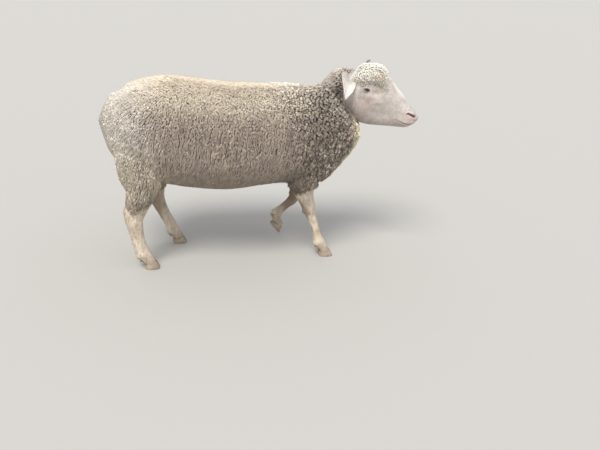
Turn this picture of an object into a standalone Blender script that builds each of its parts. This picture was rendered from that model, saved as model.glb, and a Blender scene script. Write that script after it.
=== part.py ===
"""A walking Merino sheep, life size, in metres.

+X points to the head, +Y to the sheep's left side and +Z up, and the feet stand on z = 0.
Each part of the body is lofted through a few named sections, and neighbours are parted by thin flat cuts.
"""

import bisect
import itertools
import math
import random

import bmesh
import bpy
import numpy as np
from mathutils import Matrix, Vector

# Driving dimensions, in metres and degrees.
GAP = 0.0003
BODY_SHIFT = Vector((-0.135, 0.0, 0.0))
BODY_SIDES = 16
HEAD_SIDES = 14
LEG_SIDES = 10
ROWS_BETWEEN = 2
CUTTER_SIZE = 2.0
SHARP_ANGLE = 50.0

# How square a section is: 2 is an ellipse.
TRUNK_SQUARENESS = 2.25
NECK_SQUARENESS = 2.1
HEAD_SQUARENESS = 2.3
SMALLEST_HALF = 0.01

# The fleece: clumps over a core that lies this deep under their tips.
FLEECE_DEPTH = 0.020
FLEECE_SEED = 7
SAMPLES = 9000
SETTLE_STEPS = 14
NORMAL_WEIGHT = 0.03
WOOL_EDGE_HIND = 0.225
WOOL_EDGE_FORE = 0.262
WOOL_FULL_RISE = 0.10
LOWEST_CLUMP_HIND = 0.237
LOWEST_CLUMP_FORE = 0.297
FORE_LEG_FROM = 0.20
NECK_CLUMPS_OVER = 0.008
TOPKNOT_FROM = Vector((-0.005, 0.0, 0.672))
TOPKNOT_TO = 0.135
TOPKNOT_FACING = 0.1
# Clump sizes by region: half length, half width, height over the core, and the least distance between two.
CLUMPS = {
    "trunk": (0.069, 0.061, 0.0250, 0.104),
    "neck": (0.050, 0.045, 0.0240, 0.076),
    "leg": (0.045, 0.038, 0.0150, 0.067),
    "topknot": (0.029, 0.025, 0.0165, 0.043),
}
# Rings of a clump from its sunk root up: share of its radius, and height as a share of its own.
CLUMP_RINGS = ((0.80, -0.45), (1.00, 0.10), (0.66, 0.78))
CLUMP_SIDES = 6
CLUMP_LEAN = 0.30
CLUMP_SIZES = (0.90, 1.12)
CLUMP_HEIGHTS = (0.88, 1.05)
LIE = Vector((-0.30, 0.0, -1.0))
LIE_OUTWARD = 0.35
LIE_STRAY = 0.25

# Sections of the trunk: x, height of the back, height of the belly, half width.
TORSO = (
    (-0.431, 0.545, 0.495, 0.030),
    (-0.420, 0.566, 0.450, 0.076),
    (-0.398, 0.592, 0.396, 0.118),
    (-0.360, 0.626, 0.354, 0.156),
    (-0.300, 0.656, 0.322, 0.180),
    (-0.200, 0.669, 0.288, 0.194),
    (-0.090, 0.660, 0.272, 0.203),
    (0.020, 0.648, 0.268, 0.207),
    (0.120, 0.648, 0.280, 0.203),
    (0.220, 0.646, 0.286, 0.187),
    (0.300, 0.640, 0.280, 0.166),
    (0.370, 0.622, 0.284, 0.142),
    (0.420, 0.590, 0.322, 0.116),
    (0.462, 0.550, 0.372, 0.084),
    (0.490, 0.510, 0.425, 0.045),
)

# Sections of the neck: top x and z, bottom x and z, half width, sideways shift.
NECK = (
    (0.200, 0.640, 0.430, 0.345, 0.150, 0.000),
    (0.290, 0.640, 0.484, 0.412, 0.136, 0.000),
    (0.345, 0.642, 0.504, 0.452, 0.110, 0.002),
    (0.385, 0.680, 0.508, 0.484, 0.084, 0.007),
    (0.415, 0.702, 0.508, 0.500, 0.072, 0.007),
    (0.445, 0.711, 0.511, 0.512, 0.062, 0.003),
    (0.484, 0.711, 0.518, 0.524, 0.054, -0.008),
)

# The plane between the trunk and the neck: a point and the normal towards the head.
NECK_CUT = (Vector((0.36, 0.0, 0.53)), Vector((0.72, 0.0, 0.69)))

# The head turns about a vertical axis at its root, towards the sheep's right side.
HEAD_ROOT = Vector((0.4635, -0.005, 0.0))
HEAD_YAW = -22.0
# The head and the neck part along two planes that meet behind the cheek. Their normals point off the head.
HEAD_CORNER = Vector((-0.028, 0.0, 0.612))
BACK_OF_HEAD = Vector((-0.98, 0.0, 0.20))
BACK_OF_JAW = Vector((-0.83, 0.0, -0.55))

# Sections of the head, along its heading: top s and z, bottom s and z, half width.
HEAD = (
    (-0.050, 0.672, -0.050, 0.560, 0.050),
    (-0.020, 0.685, -0.020, 0.550, 0.057),
    (0.010, 0.702, 0.006, 0.532, 0.062),
    (0.040, 0.708, 0.030, 0.519, 0.065),
    (0.080, 0.706, 0.065, 0.510, 0.064),
    (0.115, 0.694, 0.105, 0.507, 0.057),
    (0.145, 0.673, 0.140, 0.507, 0.047),
    (0.172, 0.644, 0.168, 0.508, 0.039),
    (0.197, 0.615, 0.190, 0.509, 0.034),
    (0.220, 0.590, 0.206, 0.510, 0.032),
    (0.236, 0.570, 0.217, 0.514, 0.028),
    (0.247, 0.553, 0.231, 0.525, 0.018),
)

EYE_PLACE = Vector((0.058, 0.0505, 0.642))
EYE_RADIUS = 0.0135
LID_WALL = 0.0026
LID_OPENING = Vector((0.0125, 0.012, 0.0075))

# Legs: x, z, half length fore and aft, half width. The first rows are sunk in the trunk, and the sideways
# lean from the first y to the second is over at this share of the height.
LEG_LEAN_END = 0.625
LEGS = {
    "hind_right": {
        "y": (-0.095, -0.119),
        "rows": (
            (-0.294, 0.430, 0.098, 0.070),
            (-0.293, 0.350, 0.086, 0.064),
            (-0.294, 0.295, 0.056, 0.050),
            (-0.308, 0.243, 0.039, 0.038),
            (-0.326, 0.200, 0.032, 0.027),
            (-0.324, 0.168, 0.0275, 0.0220),
            (-0.318, 0.130, 0.0235, 0.0185),
            (-0.308, 0.085, 0.0225, 0.0180),
            (-0.298, 0.057, 0.0245, 0.0205),
            (-0.284, 0.036, 0.0205, 0.0200),
            (-0.274, 0.020, 0.0200, 0.0190),
        ),
        "trunk_cut": (-0.310, 0.318, 0.38, 0.92),
        "middle_cut": (-0.318, 0.212, -0.50, 0.87),
        "sole": (-0.267, 0.0, 0.0),
    },
    "hind_left": {
        "y": (0.095, 0.109),
        "rows": (
            (-0.265, 0.430, 0.095, 0.070),
            (-0.258, 0.350, 0.082, 0.062),
            (-0.252, 0.290, 0.060, 0.048),
            (-0.250, 0.240, 0.040, 0.036),
            (-0.248, 0.200, 0.031, 0.026),
            (-0.236, 0.168, 0.025, 0.021),
            (-0.217, 0.125, 0.0205, 0.0170),
            (-0.196, 0.083, 0.0200, 0.0170),
            (-0.186, 0.057, 0.0230, 0.0200),
            (-0.172, 0.036, 0.0195, 0.0200),
            (-0.164, 0.020, 0.0195, 0.0190),
        ),
        "trunk_cut": (-0.310, 0.318, 0.38, 0.92),
        "middle_cut": (-0.240, 0.212, -0.50, 0.87),
        "sole": (-0.158, 0.0, 0.0),
    },
    "fore_right": {
        "y": (-0.085, -0.074),
        "rows": (
            (0.280, 0.400, 0.072, 0.058),
            (0.280, 0.320, 0.050, 0.046),
            (0.288, 0.265, 0.037, 0.034),
            (0.302, 0.225, 0.027, 0.024),
            (0.313, 0.193, 0.0225, 0.0205),
            (0.323, 0.165, 0.0180, 0.0165),
            (0.337, 0.130, 0.0150, 0.0140),
            (0.351, 0.085, 0.0155, 0.0145),
            (0.361, 0.058, 0.0205, 0.0185),
            (0.375, 0.036, 0.0175, 0.0185),
            (0.384, 0.020, 0.0180, 0.0180),
        ),
        "trunk_cut": (0.290, 0.264, -0.06, 1.0),
        "middle_cut": (0.313, 0.196, -0.30, 0.95),
        "sole": (0.390, 0.0, 0.0),
    },
    "fore_left": {
        "y": (0.090, 0.119),
        "rows": (
            (0.280, 0.400, 0.072, 0.058),
            (0.282, 0.320, 0.050, 0.046),
            (0.292, 0.265, 0.037, 0.034),
            (0.301, 0.225, 0.027, 0.024),
            (0.304, 0.190, 0.0225, 0.0205),
            (0.292, 0.163, 0.0200, 0.0175),
            (0.269, 0.142, 0.0150, 0.0140),
            (0.247, 0.123, 0.0155, 0.0145),
            (0.231, 0.106, 0.0195, 0.0185),
            (0.228, 0.088, 0.0170, 0.0180),
            (0.2345, 0.068, 0.0175, 0.0180),
            (0.241, 0.053, 0.0175, 0.0180),
        ),
        "trunk_cut": (0.290, 0.264, -0.06, 1.0),
        "middle_cut": (0.303, 0.194, 0.05, 1.0),
        "sole": (0.237, -48.0, 0.027),
    },
}

# One claw: half of the hoof, drawn with its sole on z = 0 and its toe to +X.
CLAW_LENGTH = 0.054
CLAW_WIDTH = 0.0205
CLAW_TOE_HEIGHT = 0.027
CLAW_HEEL_HEIGHT = 0.020
CLAW_SPLAY = 5.0
CLAW_PARTING = 0.0026
# The sole's outline, as shares of the length and of the width.
CLAW_SOLE = ((-0.46, 0.10), (-0.50, 0.55), (-0.30, 0.98), (0.05, 1.00), (0.34, 0.72), (0.50, 0.16),
             (0.47, 0.00), (-0.40, 0.00))
CORONET_SHARE = Vector((0.72, 0.84))
CORONET_SHIFT = Vector((-0.0065, 0.0012))
TOE_FLAT = 0.006
CORONET_CLEARANCE = 0.0008

TAIL_HALF_WIDTH = 0.027
TAIL_HALF_DEPTH = 0.014
TAIL_ROWS = ((-0.372, 0.592), (-0.390, 0.566), (-0.402, 0.528), (-0.405, 0.478), (-0.401, 0.440))
TAIL_CUT_HALF_WIDTH = 0.030
TAIL_CUT_DEPTH = 0.1
TAIL_TOP = (-0.372, 0.0, 0.590)
TAIL_LOW = (-0.390, 0.0, 0.425)

# The ears, in the head's frame: root, direction to the tip, and the way the cup faces.
EARS = {
    1: (Vector((0.014, 0.042, 0.690)), Vector((0.36, 0.92, 0.36)), Vector((0.62, -0.35, -0.35))),
    -1: (Vector((-0.006, -0.037, 0.680)), Vector((0.00, -0.82, -0.46)), Vector((0.55, -0.60, 0.35))),
}
EAR_LENGTH = 0.109
EAR_HALF_WIDTH = 0.033
EAR_UPPER_SHARE = 0.32
EAR_THICKNESS = 0.0045
EAR_CUP = 0.014
EAR_DROOP = 0.012
EAR_STEPS = 7
EAR_POINTS = 5
EAR_CLEARANCE = 0.0010

# The mouth and the nostrils, in the head's frame.
MOUTH_FRONT = Vector((0.2425, 0.0, 0.5335))
MOUTH_CORNER = Vector((0.190, 0.0335, 0.5235))
MOUTH_STEPS = 10
MOUTH_GROOVE = 0.0017
MOUTH_OUTWARD = 0.0012
UPPER_LIP = (0.0055, -0.0035)
LOWER_LIP = (0.0050, -0.0050)
NOSTRIL_PLACE = Vector((0.2265, 0.0205, 0.5575))
NOSTRIL_RADII = (0.0095, 0.0045, 0.0035)
NOSTRIL_TURN = 28.0
NOSTRIL_TIP = 32.0

MATERIALS = {
    "fleece": ((0.36, 0.30, 0.24), 0.95),
    "pale_hair": ((0.62, 0.55, 0.48), 0.80),
    "eye": ((0.05, 0.03, 0.02), 0.15),
    "horn": ((0.24, 0.18, 0.12), 0.60),
}


def clear_scene():
    for thing in list(bpy.data.objects):
        bpy.data.objects.remove(thing, do_unlink=True)


def material(name):
    found = bpy.data.materials.get(name)
    if found:
        return found
    colour, roughness = MATERIALS[name]
    found = bpy.data.materials.new(name)
    found.use_nodes = True
    shader = found.node_tree.nodes["Principled BSDF"]
    shader.inputs["Base Color"].default_value = (*colour, 1.0)
    shader.inputs["Roughness"].default_value = roughness
    shader.inputs["Metallic"].default_value = 0.0
    return found


def add_mesh(name, bm):
    """A closed bmesh becomes an object whose faces point out."""
    bmesh.ops.recalc_face_normals(bm, faces=bm.faces)
    mesh = bpy.data.meshes.new(name)
    bm.to_mesh(mesh)
    bm.free()
    thing = bpy.data.objects.new(name, mesh)
    bpy.context.scene.collection.objects.link(thing)
    return thing


def between(rows, steps):
    """The rows with others read from a smooth curve between them."""
    last = len(rows) - 1
    found = []
    for i in range(last):
        before, a, b, after = (rows[max(i - 1, 0)], rows[i], rows[i + 1], rows[min(i + 2, last)])
        for k in range(steps):
            t = k / steps
            found.append(tuple(
                b1 + 0.5 * t * (c1 - a1 + t * (2 * a1 - 5 * b1 + 4 * c1 - d1 + t * (3 * (b1 - c1) + d1 - a1)))
                for a1, b1, c1, d1 in zip(before, a, b, after)))
    found.append(tuple(rows[last]))
    return found


def oval(centre, up, side, sides, power=2.0):
    """Points round a closed section: a superellipse between the vectors up and side."""
    points = []
    for k in range(sides):
        angle = math.tau * (k + 0.5) / sides
        across = math.copysign(abs(math.cos(angle)) ** (2 / power), math.cos(angle))
        along = math.copysign(abs(math.sin(angle)) ** (2 / power), math.sin(angle))
        points.append(centre + up * along + side * across)
    return points


def loft(name, rings):
    """A closed skin over rings of the same number of points."""
    bm = bmesh.new()
    loops = [[bm.verts.new(point) for point in ring] for ring in rings]
    count = len(rings[0])
    for low, high in zip(loops, loops[1:]):
        for k in range(count):
            bm.faces.new((low[k], low[(k + 1) % count], high[(k + 1) % count], high[k]))
    bm.faces.new(loops[0])
    bm.faces.new(loops[-1])
    return add_mesh(name, bm)


def torso_body():
    """The core of the trunk, whose two ends are drawn in as deep as its sides."""
    rings = []
    middle = (TORSO[0][0] + TORSO[-1][0]) / 2
    shorter = 1.0 - 2 * FLEECE_DEPTH / (TORSO[-1][0] - TORSO[0][0])
    for x, top, bottom, half_width in TORSO:
        centre = Vector((middle + (x - middle) * shorter, 0.0, (top + bottom) / 2))
        up = Vector((0.0, 0.0, max((top - bottom) / 2 - FLEECE_DEPTH, SMALLEST_HALF)))
        side = Vector((0.0, max(half_width - FLEECE_DEPTH, SMALLEST_HALF), 0.0))
        rings.append(oval(centre, up, side, BODY_SIDES, TRUNK_SQUARENESS))
    return loft("torso_body", rings)


def neck_body():
    rings = []
    for top_x, top_z, low_x, low_z, half_width, shift in NECK:
        top = Vector((top_x, shift, top_z))
        low = Vector((low_x, shift, low_z))
        up = (top - low) / 2
        up = up.normalized() * (up.length - FLEECE_DEPTH)
        side = Vector((0.0, half_width - FLEECE_DEPTH, 0.0))
        rings.append(oval((top + low) / 2, up, side, BODY_SIDES, NECK_SQUARENESS))
    return loft("neck_body", rings)


def head_matrix():
    return Matrix.Translation(HEAD_ROOT) @ Matrix.Rotation(math.radians(HEAD_YAW), 4, "Z")


def head_body():
    rings = []
    turn = head_matrix()
    for top_s, top_z, low_s, low_z, half_width in between(HEAD, ROWS_BETWEEN):
        top = Vector((top_s, 0.0, top_z))
        low = Vector((low_s, 0.0, low_z))
        side = Vector((0.0, half_width, 0.0))
        ring = oval((top + low) / 2, (top - low) / 2, side, HEAD_SIDES, HEAD_SQUARENESS)
        rings.append([turn @ point for point in ring])
    return loft("head_body", rings)


def leg_path(leg):
    """Centres, directions and half sizes down a leg, which leans sideways from its first y to its second."""
    rows = between(leg["rows"], ROWS_BETWEEN)
    high, low = rows[0][1], rows[-1][1]
    y_top, y_low = leg["y"]
    path = []
    for i, (x, z, half_length, half_width) in enumerate(rows):
        share = (high - z) / (high - low)
        before, after = rows[max(i - 1, 0)], rows[min(i + 1, len(rows) - 1)]
        down = Vector((after[0] - before[0], 0.0, after[1] - before[1])).normalized()
        forward = Vector((-down.z, 0.0, down.x))
        y = y_top + (y_low - y_top) * min(share / LEG_LEAN_END, 1.0)
        path.append((Vector((x, y, z)), forward, half_length, half_width))
    return path


def leg_body(name, leg, woolly):
    """A leg down to its hoof. Where it is woolly, its core lies under the clumps."""
    edge = WOOL_EDGE_HIND if name.startswith("hind") else WOOL_EDGE_FORE
    rings = []
    for centre, forward, half_length, half_width in leg_path(leg):
        share = min(max((centre.z - edge) / WOOL_FULL_RISE, 0.0), 1.0)
        inset = FLEECE_DEPTH * share if woolly else 0.0
        side = Vector((0.0, half_width - inset, 0.0))
        rings.append(oval(centre, forward * (half_length - inset), side, LEG_SIDES))
    return loft(name, rings)


def tail_body():
    rings = []
    rows = between(TAIL_ROWS, ROWS_BETWEEN)
    for i, (x, z) in enumerate(rows):
        before, after = rows[max(i - 1, 0)], rows[min(i + 1, len(rows) - 1)]
        down = Vector((after[0] - before[0], 0.0, after[1] - before[1])).normalized()
        back = Vector((down.z, 0.0, -down.x))
        rings.append(oval(Vector((x, 0.0, z)), back * TAIL_HALF_DEPTH, Vector((0.0, TAIL_HALF_WIDTH, 0.0)),
                          LEG_SIDES))
    return loft("tail_body", rings)


def clump(place, normal, region, rng):
    """A rounded lock of wool: a dome on the surface, whose top leans down and back along the coat."""
    half_length, half_width, height, _ = CLUMPS[region]
    size = rng.uniform(*CLUMP_SIZES)
    height *= rng.uniform(*CLUMP_HEIGHTS)
    outward = Vector((0.0, math.copysign(LIE_OUTWARD, place.y), 0.0))
    stray = Vector((rng.uniform(-LIE_STRAY, LIE_STRAY), rng.uniform(-LIE_STRAY, LIE_STRAY), 0.0))
    lie = LIE + outward + stray
    lie = (lie - normal * lie.dot(normal)).normalized()
    side = lie.cross(normal)
    bm = bmesh.new()
    loops = []
    for share, rise in CLUMP_RINGS:
        centre = place + normal * height * rise + lie * half_length * CLUMP_LEAN * max(rise, 0.0)
        ring = oval(centre, lie * half_length * size * share, side * half_width * size * share, CLUMP_SIDES)
        loops.append([bm.verts.new(point) for point in ring])
    top = bm.verts.new(place + normal * height + lie * half_length * CLUMP_LEAN)
    for k in range(CLUMP_SIDES):
        after = (k + 1) % CLUMP_SIDES
        for low, high in zip(loops, loops[1:]):
            bm.faces.new((low[k], low[after], high[after], high[k]))
        bm.faces.new((loops[-1][k], loops[-1][after], top))
    bm.faces.new(loops[0])
    return add_mesh("clump", bm)


def samples_on(surface, region_of, rng):
    """Random points of a surface with their normals, by region, and the area that one of them stands for."""
    bm = bmesh.new()
    bm.from_mesh(surface.data)
    bmesh.ops.triangulate(bm, faces=bm.faces)
    bm.faces.ensure_lookup_table()
    sums = list(itertools.accumulate(face.calc_area() for face in bm.faces))
    found = {}
    for _ in range(SAMPLES):
        face = bm.faces[min(bisect.bisect(sums, rng.random() * sums[-1]), len(sums) - 1)]
        a, b = sorted((rng.random(), rng.random()))
        first, second, third = (vert.co for vert in face.verts)
        place = first * a + second * (b - a) + third * (1 - b)
        region = region_of(place, face.normal)
        if region:
            found.setdefault(region, []).append((*place, *face.normal))
    bm.free()
    return found, sums[-1] / SAMPLES


def settle(samples, count, rng):
    """Rows of the samples spread evenly: each place moves to the middle of the samples nearest to it."""
    weights = np.array([1.0] * 3 + [NORMAL_WEIGHT] * 3)
    points = np.array(samples) * weights
    places = points[rng.sample(range(len(points)), count)]
    for _ in range(SETTLE_STEPS):
        nearest = ((points[:, None] - places) ** 2).sum(axis=2).argmin(axis=1)
        places = np.array([points[nearest == k].mean(axis=0) if (nearest == k).any() else places[k]
                           for k in range(count)])
    rows = ((points[:, None] - places) ** 2).sum(axis=2).argmin(axis=0)
    return [samples[row] for row in rows]


def scatter(surface, region_of, seed):
    """Places spread evenly over a surface, each as a point, its normal and its region."""
    rng = random.Random(seed)
    by_region, area = samples_on(surface, region_of, rng)
    found = []
    for region, samples in sorted(by_region.items()):
        apart = CLUMPS[region][3]
        count = max(round(len(samples) * area / (apart * apart * math.sin(math.radians(60)))), 1)
        found += [(Vector(row[:3]), Vector(row[3:]), region) for row in settle(samples, count, rng)]
    return found


def side_of(point, plane):
    return (point - plane[0]).dot(plane[1])


def fleece_region(place, normal):
    """The region of the fleece at a point of the core, or nothing where the coat is short."""
    if side_of(place, NECK_CUT) > 0:
        off_head = max(side_of(place, cut) for cut in head_cuts())
        return "neck" if off_head > -NECK_CLUMPS_OVER else None
    if place.x < TAIL_TOP[0] and abs(place.y) < TAIL_CUT_HALF_WIDTH and place.z > TAIL_LOW[2]:
        return None
    hind = side_of(place, plane_of(LEGS["hind_right"]["trunk_cut"])) < 0 and place.x < 0
    if hind:
        return "leg" if place.z > LOWEST_CLUMP_HIND else None
    return "trunk" if place.z > LOWEST_CLUMP_FORE or place.x < FORE_LEG_FROM else None


def applied(thing, modifier):
    """The object's mesh as its one modifier leaves it."""
    graph = bpy.context.evaluated_depsgraph_get()
    mesh = bpy.data.meshes.new_from_object(thing.evaluated_get(graph), depsgraph=graph)
    thing.modifiers.remove(modifier)
    thing.data = mesh


def combine(thing, others, operation, solver="EXACT"):
    """Joins or cuts with all the others at once, and removes them."""
    group = bpy.data.collections.new("others")
    bpy.context.scene.collection.children.link(group)
    for other in others:
        bpy.context.scene.collection.objects.unlink(other)
        group.objects.link(other)
    modifier = thing.modifiers.new("combine", "BOOLEAN")
    modifier.operation = operation
    modifier.solver = solver
    modifier.operand_type = "COLLECTION"
    modifier.collection = group
    applied(thing, modifier)
    for other in list(group.objects):
        bpy.data.objects.remove(other, do_unlink=True)
    bpy.data.collections.remove(group)
    keep_largest(thing)
    return thing


def islands(bm):
    left = set(bm.faces)
    while left:
        island = set()
        queue = [left.pop()]
        while queue:
            face = queue.pop()
            island.add(face)
            for edge in face.edges:
                for other in edge.link_faces:
                    if other in left:
                        left.remove(other)
                        queue.append(other)
        yield island


def keep_largest(thing):
    """Drops every closed surface but the one of most faces, and makes triangles of the rest."""
    bm = bmesh.new()
    bm.from_mesh(thing.data)
    bodies = sorted(islands(bm), key=len)
    for body in bodies[:-1]:
        bmesh.ops.delete(bm, geom=list(body), context="FACES")
    bmesh.ops.triangulate(bm, faces=bm.faces)
    bm.to_mesh(thing.data)
    bm.free()


def half_space(point, normal, gap=GAP):
    """A large block on the side that the normal points to, which starts half a gap before the plane."""
    bm = bmesh.new()
    bmesh.ops.create_cube(bm, size=CUTTER_SIZE)
    turn = Vector((0.0, 0.0, 1.0)).rotation_difference(normal.normalized()).to_matrix().to_4x4()
    shift = Matrix.Translation(point + normal.normalized() * (CUTTER_SIZE - gap) / 2)
    bmesh.ops.transform(bm, matrix=shift @ turn, verts=bm.verts)
    return add_mesh("half_space", bm)


def plane_of(row):
    x, z, normal_x, normal_z = row
    return Vector((x, 0.0, z)), Vector((normal_x, 0.0, normal_z))


def head_cuts():
    """The two planes behind the head and its jaw, each as a point and the normal that points away from it."""
    turn = head_matrix()
    corner = turn @ HEAD_CORNER
    return (corner, turn.to_3x3() @ BACK_OF_HEAD), (corner, turn.to_3x3() @ BACK_OF_JAW)


def head_block():
    """The room that the neck leaves to the head: all in front of both planes."""
    (corner, back), (_, under) = head_cuts()
    return combine(half_space(corner, -back), [half_space(corner, -under)], "INTERSECT")


def finish(name, thing, material_name):
    thing.name = name
    thing.data.name = name
    thing.data.transform(Matrix.Translation(BODY_SHIFT))
    thing.data.materials.clear()
    thing.data.materials.append(material(material_name))
    thing.data.shade_smooth()
    thing.data.set_sharp_from_angle(angle=math.radians(SHARP_ANGLE))


def whole_fleece():
    """Trunk, neck, legs and tail as one body, with the clumps of the coat fused to it."""
    parts = [torso_body(), neck_body(), tail_body()]
    parts += [leg_body(name, leg, True) for name, leg in LEGS.items()]
    whole = combine(parts[0], parts[1:], "UNION")
    rng = random.Random(FLEECE_SEED + 1)
    places = scatter(whole, fleece_region, FLEECE_SEED)
    clumps = [clump(place, normal, region, rng) for place, normal, region in places]
    return combine(whole, clumps, "UNION")


def copy_of(thing):
    twin = thing.copy()
    twin.data = thing.data.copy()
    bpy.context.scene.collection.objects.link(twin)
    return twin


def tail_block(gap):
    """A block round the tail, from the rump outwards, with a gap taken off or added all round."""
    top, low = Vector(TAIL_TOP), Vector(TAIL_LOW)
    down = (low - top).normalized()
    back = Vector((down.z, 0.0, -down.x))
    size = Vector((2 * TAIL_CUT_HALF_WIDTH, TAIL_CUT_DEPTH, (low - top).length)) + Vector((gap, gap, gap))
    middle = (top + low) / 2 + back * TAIL_CUT_DEPTH / 2
    turn = Matrix((Vector((0.0, 1.0, 0.0)), back, down)).transposed().to_4x4()
    bm = bmesh.new()
    bmesh.ops.create_cube(bm, size=1.0)
    place = Matrix.Translation(middle) @ turn @ Matrix.Diagonal((*size, 1.0))
    bmesh.ops.transform(bm, matrix=place, verts=bm.verts)
    return add_mesh("tail_block", bm)


def ear_body(side, extra):
    """A leaf-shaped ear with a cupped front, from its root on the poll to its tip."""
    root, reach, face = EARS[side]
    reach = reach.normalized()
    face = (face - reach * face.dot(reach)).normalized()
    across = reach.cross(face)
    turn = head_matrix()
    rings = []
    for i in range(EAR_STEPS + 1):
        t = i / EAR_STEPS
        width = EAR_HALF_WIDTH * max(math.sin(math.pi * (0.16 + 0.84 * t) ** 0.85), 0.08)
        cup = EAR_CUP * math.sin(math.pi * min(t * 0.9 + 0.12, 1.0))
        spine = root + reach * (EAR_LENGTH * t + extra * (2 * t - 1)) - Vector((0.0, 0.0, EAR_DROOP * t * t))
        front, back = [], []
        for k in range(EAR_POINTS):
            u = 2 * k / (EAR_POINTS - 1) - 1
            edge = EAR_THICKNESS * (1.0 - 0.55 * abs(u)) / 2 + extra
            half = width * (1.0 - side * EAR_UPPER_SHARE * u)
            share = u * (half + extra) / half
            point = spine + across * half * share + face * cup * share * share
            front.append(point + face * edge)
            back.append(point - face * edge)
        rings.append([turn @ point for point in front + back[::-1]])
    return loft("ear_body", rings)


def ellipsoid(name, centre, radii, turn, around=12, rings=6):
    bm = bmesh.new()
    bmesh.ops.create_uvsphere(bm, u_segments=around, v_segments=rings, radius=1.0)
    size = Matrix.Diagonal((*radii, 1.0))
    bmesh.ops.transform(bm, matrix=Matrix.Translation(centre) @ turn.to_4x4() @ size, verts=bm.verts)
    return add_mesh(name, bm)


def eye_turn(side):
    """The gaze of an eye: out to the side, a little forward."""
    gaze = Vector((0.28, side, 0.05)).normalized()
    return head_matrix().to_3x3() @ gaze.to_track_quat("Y", "Z").to_matrix()


def eye_centre(side):
    return head_matrix() @ Vector((EYE_PLACE.x, side * EYE_PLACE.y, EYE_PLACE.z))


def eye_body(side, radius):
    return ellipsoid("eye_body", eye_centre(side), (radius,) * 3, eye_turn(side), 12, 8)


def tube_along(name, points, radius, sides=5):
    rings = []
    for i, point in enumerate(points):
        before, after = points[max(i - 1, 0)], points[min(i + 1, len(points) - 1)]
        ahead = (after - before).normalized()
        side = ahead.cross(Vector((0.0, 0.0, 1.0))).normalized()
        rings.append(oval(point, side.cross(ahead) * radius, side * radius, sides))
    return loft(name, rings)


def mouth_line(outward, rise=0.0):
    """Points of the mouth's line from the right corner, round the front of the muzzle, to the left corner."""
    turn = head_matrix()
    points = []
    for i in range(MOUTH_STEPS + 1):
        angle = math.pi * (i / MOUTH_STEPS - 0.5)
        share = math.cos(angle)
        along = MOUTH_CORNER.x + (MOUTH_FRONT.x - MOUTH_CORNER.x) * share ** 0.8
        width = (MOUTH_CORNER.y + outward) * math.sin(angle)
        height = MOUTH_CORNER.z + (MOUTH_FRONT.z - MOUTH_CORNER.z) * share ** 1.5
        points.append(turn @ Vector((along + outward * share, width, height + rise)))
    return points


def topknot_region(place, normal):
    turned = head_matrix().inverted() @ place
    on_top = turned.z > TOPKNOT_FROM.z and normal.z > TOPKNOT_FACING
    return "topknot" if on_top and TOPKNOT_FROM.x < turned.x < TOPKNOT_TO else None


def build_head():
    head = head_body()
    rng = random.Random(FLEECE_SEED + 3)
    places = scatter(head, topknot_region, FLEECE_SEED + 5)
    combine(head, [clump(place, normal, region, rng) for place, normal, region in places], "UNION")
    added = [eye_body(side, EYE_RADIUS + LID_WALL) for side in (-1, 1)]
    for (radius, outward), up in ((UPPER_LIP, 1), (LOWER_LIP, -1)):
        added.append(tube_along("lip", mouth_line(outward, up * radius), radius))
    combine(head, added, "UNION")
    cutters = []
    for side in (-1, 1):
        opening = eye_turn(side)
        outer = eye_centre(side) + opening @ Vector((0.0, EYE_RADIUS, 0.0))
        cutters.append(ellipsoid("lid_opening", outer, LID_OPENING, opening))
        cutters.append(eye_body(side, EYE_RADIUS + GAP))
        nostril = head_matrix() @ Vector((NOSTRIL_PLACE.x, side * NOSTRIL_PLACE.y, NOSTRIL_PLACE.z))
        lean = Matrix.Rotation(math.radians(HEAD_YAW + side * NOSTRIL_TURN), 3, "Z")
        lean @= Matrix.Rotation(math.radians(NOSTRIL_TIP), 3, "Y")
        cutters.append(ellipsoid("nostril", nostril, NOSTRIL_RADII, lean, 10, 6))
        cutters.append(ear_body(side, EAR_CLEARANCE))
    cutters.append(tube_along("mouth", mouth_line(MOUTH_OUTWARD), MOUTH_GROOVE))
    cutters += [half_space(point, normal) for point, normal in head_cuts()]
    return combine(head, cutters, "DIFFERENCE")


def claw_body(part_side):
    """Half a hoof: a sole with a pointed toe under a smaller coronet."""
    bm = bmesh.new()
    for share_x, share_y in CLAW_SOLE:
        x, y = share_x * CLAW_LENGTH, share_y * CLAW_WIDTH
        rise = CLAW_HEEL_HEIGHT + (CLAW_TOE_HEIGHT - CLAW_HEEL_HEIGHT) * (share_x + 0.5)
        bm.verts.new((x, y, 0.0))
        bm.verts.new((x * CORONET_SHARE.x + CORONET_SHIFT.x, y * CORONET_SHARE.y + CORONET_SHIFT.y, rise))
    bmesh.ops.convex_hull(bm, input=bm.verts)
    loose = [v for v in bm.verts if not v.link_faces]
    bmesh.ops.delete(bm, geom=loose, context="VERTS")
    turn = Matrix.Rotation(math.radians(CLAW_SPLAY), 4, "Z")
    heel = CLAW_LENGTH / 2 * math.sin(math.radians(CLAW_SPLAY))
    apart = Matrix.Translation((0.0, CLAW_PARTING / 2 + heel, 0.0))
    bmesh.ops.transform(bm, matrix=apart @ turn, verts=bm.verts)
    bmesh.ops.transform(bm, matrix=Matrix.Diagonal((1.0, part_side, 1.0, 1.0)), verts=bm.verts)
    return add_mesh("claw", bm)


def foot_matrix(leg):
    """Turns a claw from its own place to the foot. A tipped foot hangs with its toe at this height."""
    x, tip, toe_height = leg["sole"]
    y = leg["y"][1]
    if tip == 0.0:
        return Matrix.Translation((x, y, 0.0))
    toe = Vector((CLAW_LENGTH / 2 - TOE_FLAT, 0.0, 0.0))
    turn = Matrix.Rotation(math.radians(-tip), 4, "Y")
    return Matrix.Translation((x, y, toe_height)) @ turn @ Matrix.Translation(-toe)


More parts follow.
